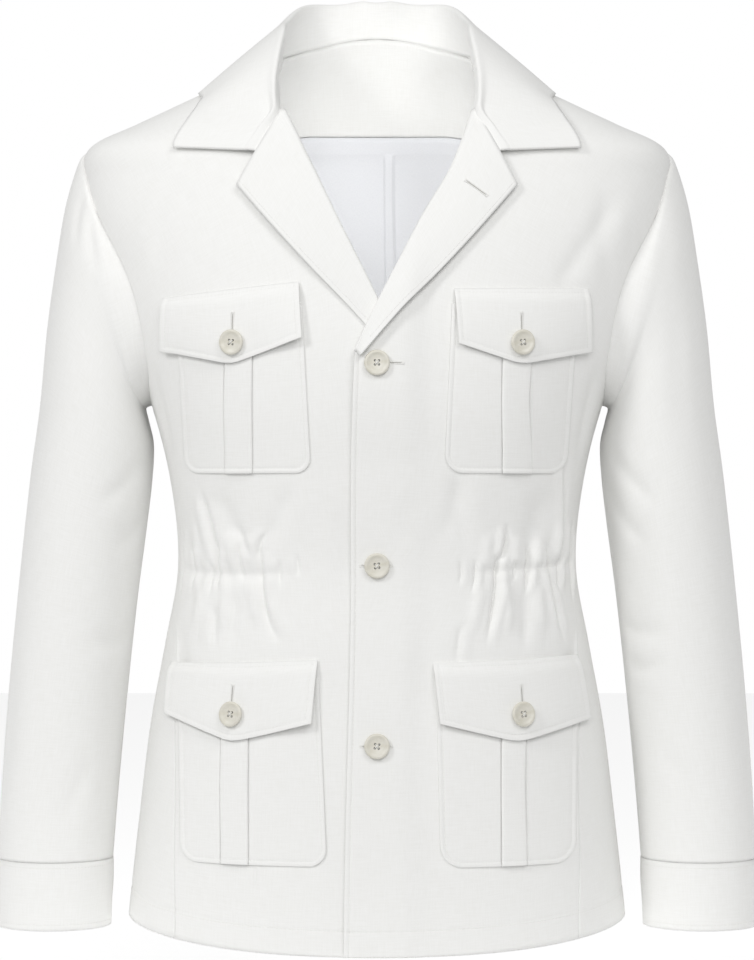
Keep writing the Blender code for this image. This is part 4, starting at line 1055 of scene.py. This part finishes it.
def flap_place(u, v, corners):
    """A place of the flap, from its share across and its share down. The foot has its tip at the middle."""
    (ax, az), (bx, bz), (cx, cz), (tx, tz), (dx, dz), lift = corners
    head_x, head_z = ax + (bx - ax) * u, az + (bz - az) * u
    foot_x = np.interp(u, [0, 0.5, 1], [cx, tx, dx])
    foot_z = np.interp(u, [0, 0.5, 1], [cz, tz, dz]) + 1.0 * np.exp(-((u - 0.5) / 0.035) ** 2)
    x, z = (head_x + (foot_x - head_x) * v) * MM, (head_z + (foot_z - head_z) * v) * MM
    rise = 2.2 * MM + 2.7 * MM * ease(v / 0.2) + 0.7 * MM * np.sin(math.pi * np.clip((v - 0.1) / 0.9, 0, 1))
    rise = rise + 0.5 * MM * v + 0.35 * MM * np.sin(x / (19 * MM) + 1.0) * v
    rise = rise + lift * MM * ease((0.3 - u) / 0.3) * v ** 1.5 + 0.4 * lift * MM * ease((u - 0.85) / 0.15) * v
    edge = np.minimum(np.minimum(u, 1 - u) * (bx - ax), (1 - v) * (foot_z - head_z) * -1) * MM
    return x, z, rise + 0.3 * MM * (bell(edge, 1.5, 1.2) - bell(edge, 4, 0.9))


def flap_grid(corners):
    half = np.concatenate([np.array([0, 0.4, 1.3, 2.2, 3.2, 4.0, 4.9]) / 108, np.linspace(0.062, 0.5, 26)])
    across = np.concatenate([half, 1 - half[-2::-1]])
    down = 1 - np.concatenate([[0, 0.008, 0.026, 0.045, 0.065, 0.085, 0.105], np.linspace(0.14, 1, 22)])
    return on_front(*flap_place(across[None, :], down[:, None], corners))[0]


def flap_stitches(corners):
    """One line round the sides and the pointed foot, and one along the seam at the top."""
    inset_u, inset_v = 4 / 108, 1 - 4 / 52
    u = np.concatenate([np.full(20, inset_u), np.linspace(inset_u, 1 - inset_u, 80), np.full(20, 1 - inset_u)])
    v = np.concatenate([np.linspace(0.06, inset_v, 20), np.full(80, inset_v), np.linspace(inset_v, 0.06, 20)])
    places = [flap_place(u, v, corners), flap_place(np.linspace(0.02, 0.98, 60), np.full(60, 0.06), corners)]
    return [on_front(x, z, rise + FLAP_THICKNESS) for x, z, rise in places]


def flap_height(x, z, corners):
    """How far the flap's outer face stands above the body at the place of its button."""
    (ax, az), (bx, _), _, (_, tip_z), _, _ = corners
    u, v = (x / MM - ax) / (bx - ax), (z / MM - az) / (tip_z - az)
    return float(flap_place(np.array(u), np.array(v), corners)[2]) + FLAP_THICKNESS


for name in POCKETS:
    sign = 1 if name.endswith("left") else -1
    flip = (lambda grid: grid) if sign == 1 else mirrored
    other = np.array([sign, 1, 1])
    wander = 1.2 if name == "chest_left" else 0.5 * sign
    sheet_of(f"pocket_{name}", flip(pocket_grid(POCKETS[name], wander)), POCKET_THICKNESS)
    sheet_of(f"flap_{name}", flip(flap_grid(FLAPS[name])), FLAP_THICKNESS)
    rows = {"pocket": [pocket_stitches(POCKETS[name], wander)], "flap": flap_stitches(FLAPS[name])}
    for kind, lines in rows.items():
        stitch_row(f"{kind}_{name}_stitches", [(line * other, ways * other) for line, ways in lines], 2.9 * MM)

# %% [markdown]
# ## Buttons
#
# A jacket button is turned: a dished face inside a raised rim. One outline is spun with Screw, four holes are
# cut by Boolean, and the finished mesh is copied to all seven places. Two crossed bars of thread hold it.

# %% Turn one button
BUTTON_RADIUS, BUTTON_THICKNESS = 10 * MM, 3.4 * MM
BUTTON_HOLE, HOLE_REACH = 0.95 * MM, 2.2 * MM  # radius of a hole, and how far its middle is from the centre
# share of the radius, share of the thickness
BUTTON_OUTLINE = [(0, 0.66), (0.30, 0.67), (0.55, 0.71), (0.66, 0.80), (0.74, 0.93), (0.82, 1), (0.90, 0.99),
                  (0.965, 0.88), (1, 0.68), (0.985, 0.40), (0.92, 0.12), (0.82, 0), (0, 0)]


def turned_button():
    mesh = bpy.data.meshes.new("button outline")
    mesh.from_pydata([(BUTTON_RADIUS * a, 0, BUTTON_THICKNESS * b) for a, b in BUTTON_OUTLINE],
                     [(i, i + 1) for i in range(len(BUTTON_OUTLINE) - 1)], [])
    blank = linked("button blank", mesh)
    screw = blank.modifiers.new("turned", "SCREW")
    screw.steps = screw.render_steps = 64
    screw.use_merge_vertices = True
    screw.merge_threshold = 0.00001
    drills = []
    for k in range(4):
        corner = math.radians(45 + 90 * k)
        bpy.ops.mesh.primitive_cylinder_add(vertices=20, radius=BUTTON_HOLE, depth=4 * BUTTON_THICKNESS)
        drill = bpy.context.object
        drill.location = (HOLE_REACH * math.cos(corner), HOLE_REACH * math.sin(corner), 0)
        cut = blank.modifiers.new(f"hole {k}", "BOOLEAN")
        cut.object, cut.operation = drill, "DIFFERENCE"
        drills.append(drill)
    bpy.context.view_layer.update()
    finished = bpy.data.meshes.new_from_object(blank.evaluated_get(bpy.context.evaluated_depsgraph_get()))
    for scrap in [blank] + drills:
        bpy.data.objects.remove(scrap)
    finished.shade_smooth()
    finished.set_sharp_from_angle(angle=math.radians(38))
    finished.materials.clear()
    finished.materials.append(ivory)
    return finished


def tube(name, paths, radius):
    """Short round bars of thread along paths of points, all in one mesh."""
    points, faces = [], []
    for path in paths:
        along = unit(np.gradient(path, axis=0))
        first = unit(np.cross(along, np.array([0.31, 0.87, 0.38])))
        second = np.cross(along, first)
        faces += bar_faces(len(points), len(path))
        for at, one, two in zip(path, first, second):
            for turn in np.radians(np.arange(0, 360, 60)):
                points.append(at + radius * (one * math.cos(turn) + two * math.sin(turn)))
    declare(linked(name, mesh_of(name, points, faces, thread)))


# %% Sew on the buttons
from mathutils import Matrix, Vector

# height, middle of the buttonhole, turn in degrees
FRONT_BUTTONS = ((-256, 8.0, 0), (-414, -0.8, 8), (-555, -0.8, -5))
FLAP_BUTTON_HEIGHTS = {"chest": -239 * MM, "hip": -532 * MM}
button_mesh = turned_button()


def sew_button(node, x, height, rise, spin):
    seat, axis = [Vector(values) for values in on_front(x, height, rise)]
    facing = axis.to_track_quat("Z", "Y").to_matrix().to_4x4()
    pose = Matrix.Translation(seat) @ facing @ Matrix.Rotation(spin, 4, "Z")
    piece = linked(f"{node}_turned", button_mesh.copy())
    piece.matrix_world = pose
    declare(piece, node)
    reach, top, low = HOLE_REACH * math.sqrt(0.5), 2.6 * MM, 1.2 * MM
    crossed = []
    for sign in (1, -1):
        ends = [(-reach, -sign * reach, low), (-reach, -sign * reach, top), (0, 0, top + 0.25 * MM * (1 + sign)),
                (reach, sign * reach, top), (reach, sign * reach, low)]
        crossed.append(np.array([tuple(pose @ Vector(end)) for end in ends]))
    tube(f"{node}_thread", crossed, 0.32 * MM)


def worked_hole(name, x, height, rise, along, length):
    """A buttonhole on the body's surface. Along is its direction as seen from the front."""
    centre, facing = on_front(x, height, rise)
    buttonhole(name, centre, unit(along - facing * np.dot(along, facing)), facing, length)


for number, (height, slit, spin) in enumerate(FRONT_BUTTONS, start=1):
    cloth_top = float(overlap_rise(0.0, height * MM)) + SEAT + CLOTH
    sew_button(f"button_front_{number}", 0.0, height * MM, cloth_top + 0.7 * MM, math.radians(spin))
    worked_hole(f"buttonhole_front_{number}", slit * MM, height * MM, cloth_top, (1.0, 0.0, 0.0), 23 * MM)
for place, height in FLAP_BUTTON_HEIGHTS.items():
    for side, sign in (("left", 1), ("right", -1)):
        corners = FLAPS[f"{place}_{side}"]
        top = flap_height(FLAP_TIP, height, corners)
        sew_button(f"button_{place}_{side}", sign * FLAP_TIP, height, top + 0.6 * MM, math.radians(6 * sign))
        above = height + 11 * MM
        worked_hole(f"buttonhole_{place}_{side}", sign * FLAP_TIP, above, flap_height(FLAP_TIP, above, corners),
                    (0.0, 0.0, 1.0), 22 * MM)
print("buttons:", len(FRONT_BUTTONS) + len(FLAPS), "of", len(button_mesh.polygons), "faces")

# %% [markdown]
# ## Light and camera
#
# The photograph is bright and nearly shadowless: a white surround, and one broad light from the upper left that
# leaves soft shade on the right of every edge. The camera looks level from the front with a long lens.

# %% Stage, light and camera
world = bpy.data.worlds.new("studio")
bpy.context.scene.world = world
world.use_nodes = True
sky = world.node_tree
ambient = sky.nodes["Background"]
ambient.inputs["Color"].default_value = (1.0, 1.0, 1.0, 1)
ambient.inputs["Strength"].default_value = 0.42
white = sky.nodes.new("ShaderNodeBackground")
white.inputs["Color"].default_value = (1.0, 1.0, 1.0, 1)
white.inputs["Strength"].default_value = 1.0
rays = sky.nodes.new("ShaderNodeLightPath")
choose = sky.nodes.new("ShaderNodeMixShader")
sky.links.new(rays.outputs["Is Camera Ray"], choose.inputs["Fac"])
sky.links.new(ambient.outputs[0], choose.inputs[1])
sky.links.new(white.outputs[0], choose.inputs[2])
sky.links.new(choose.outputs[0], sky.nodes["World Output"].inputs["Surface"])

floor_finish, _, floor_shader = new_material("pale_floor", (0.93, 0.93, 0.93), 0.9)
floor_shader.inputs["Emission Color"].default_value = (1, 1, 1, 1)
floor_shader.inputs["Emission Strength"].default_value = 0.5
FLOOR_HEIGHT = -0.86
floor_corners = [(-3, -0.3, FLOOR_HEIGHT), (3, -0.3, FLOOR_HEIGHT), (3, 5, FLOOR_HEIGHT), (-3, 5, FLOOR_HEIGHT)]
floor = linked("floor", mesh_of("floor", floor_corners, [(0, 1, 2, 3)], floor_finish))


def area_light(name, place, aim, size, power):
    data = bpy.data.lights.new(name, "AREA")
    data.shape = "SQUARE"
    data.size = size
    data.energy = power
    lamp = linked(name, data)
    lamp.location = place
    lamp.rotation_euler = (Vector(aim) - Vector(place)).to_track_quat("-Z", "Y").to_euler()
    lamp.visible_camera = False


area_light("key from upper left", (-2.0, -2.1, 1.4), (0, 0, -0.2), 0.7, 27)
area_light("broad light from the front", (-0.2, -2.8, 0.5), (0, 0, -0.2), 1.0, 19)
area_light("high light from the right", (0.9, -1.9, 1.4), (0.1, 0, -0.1), 1.0, 15)
area_light("bounce inside the neck", (-0.03, -0.055, -0.15), (0.05, 0.08, -0.08), 0.09, 0.13)

camera_data = bpy.data.cameras.new("camera")
camera_data.sensor_fit = "VERTICAL"
CAMERA_DISTANCE, CAMERA_HEIGHT, SEEN_HEIGHT = 2.6, -0.347, 0.79
camera_data.angle = 2 * math.atan(SEEN_HEIGHT / 2 / CAMERA_DISTANCE)
camera = linked("camera", camera_data)
camera.location = (0, -CAMERA_DISTANCE, CAMERA_HEIGHT)
camera.rotation_euler = (math.pi / 2, 0, 0)
bpy.context.scene.camera = camera
bpy.context.scene.view_settings.view_transform = "Standard"
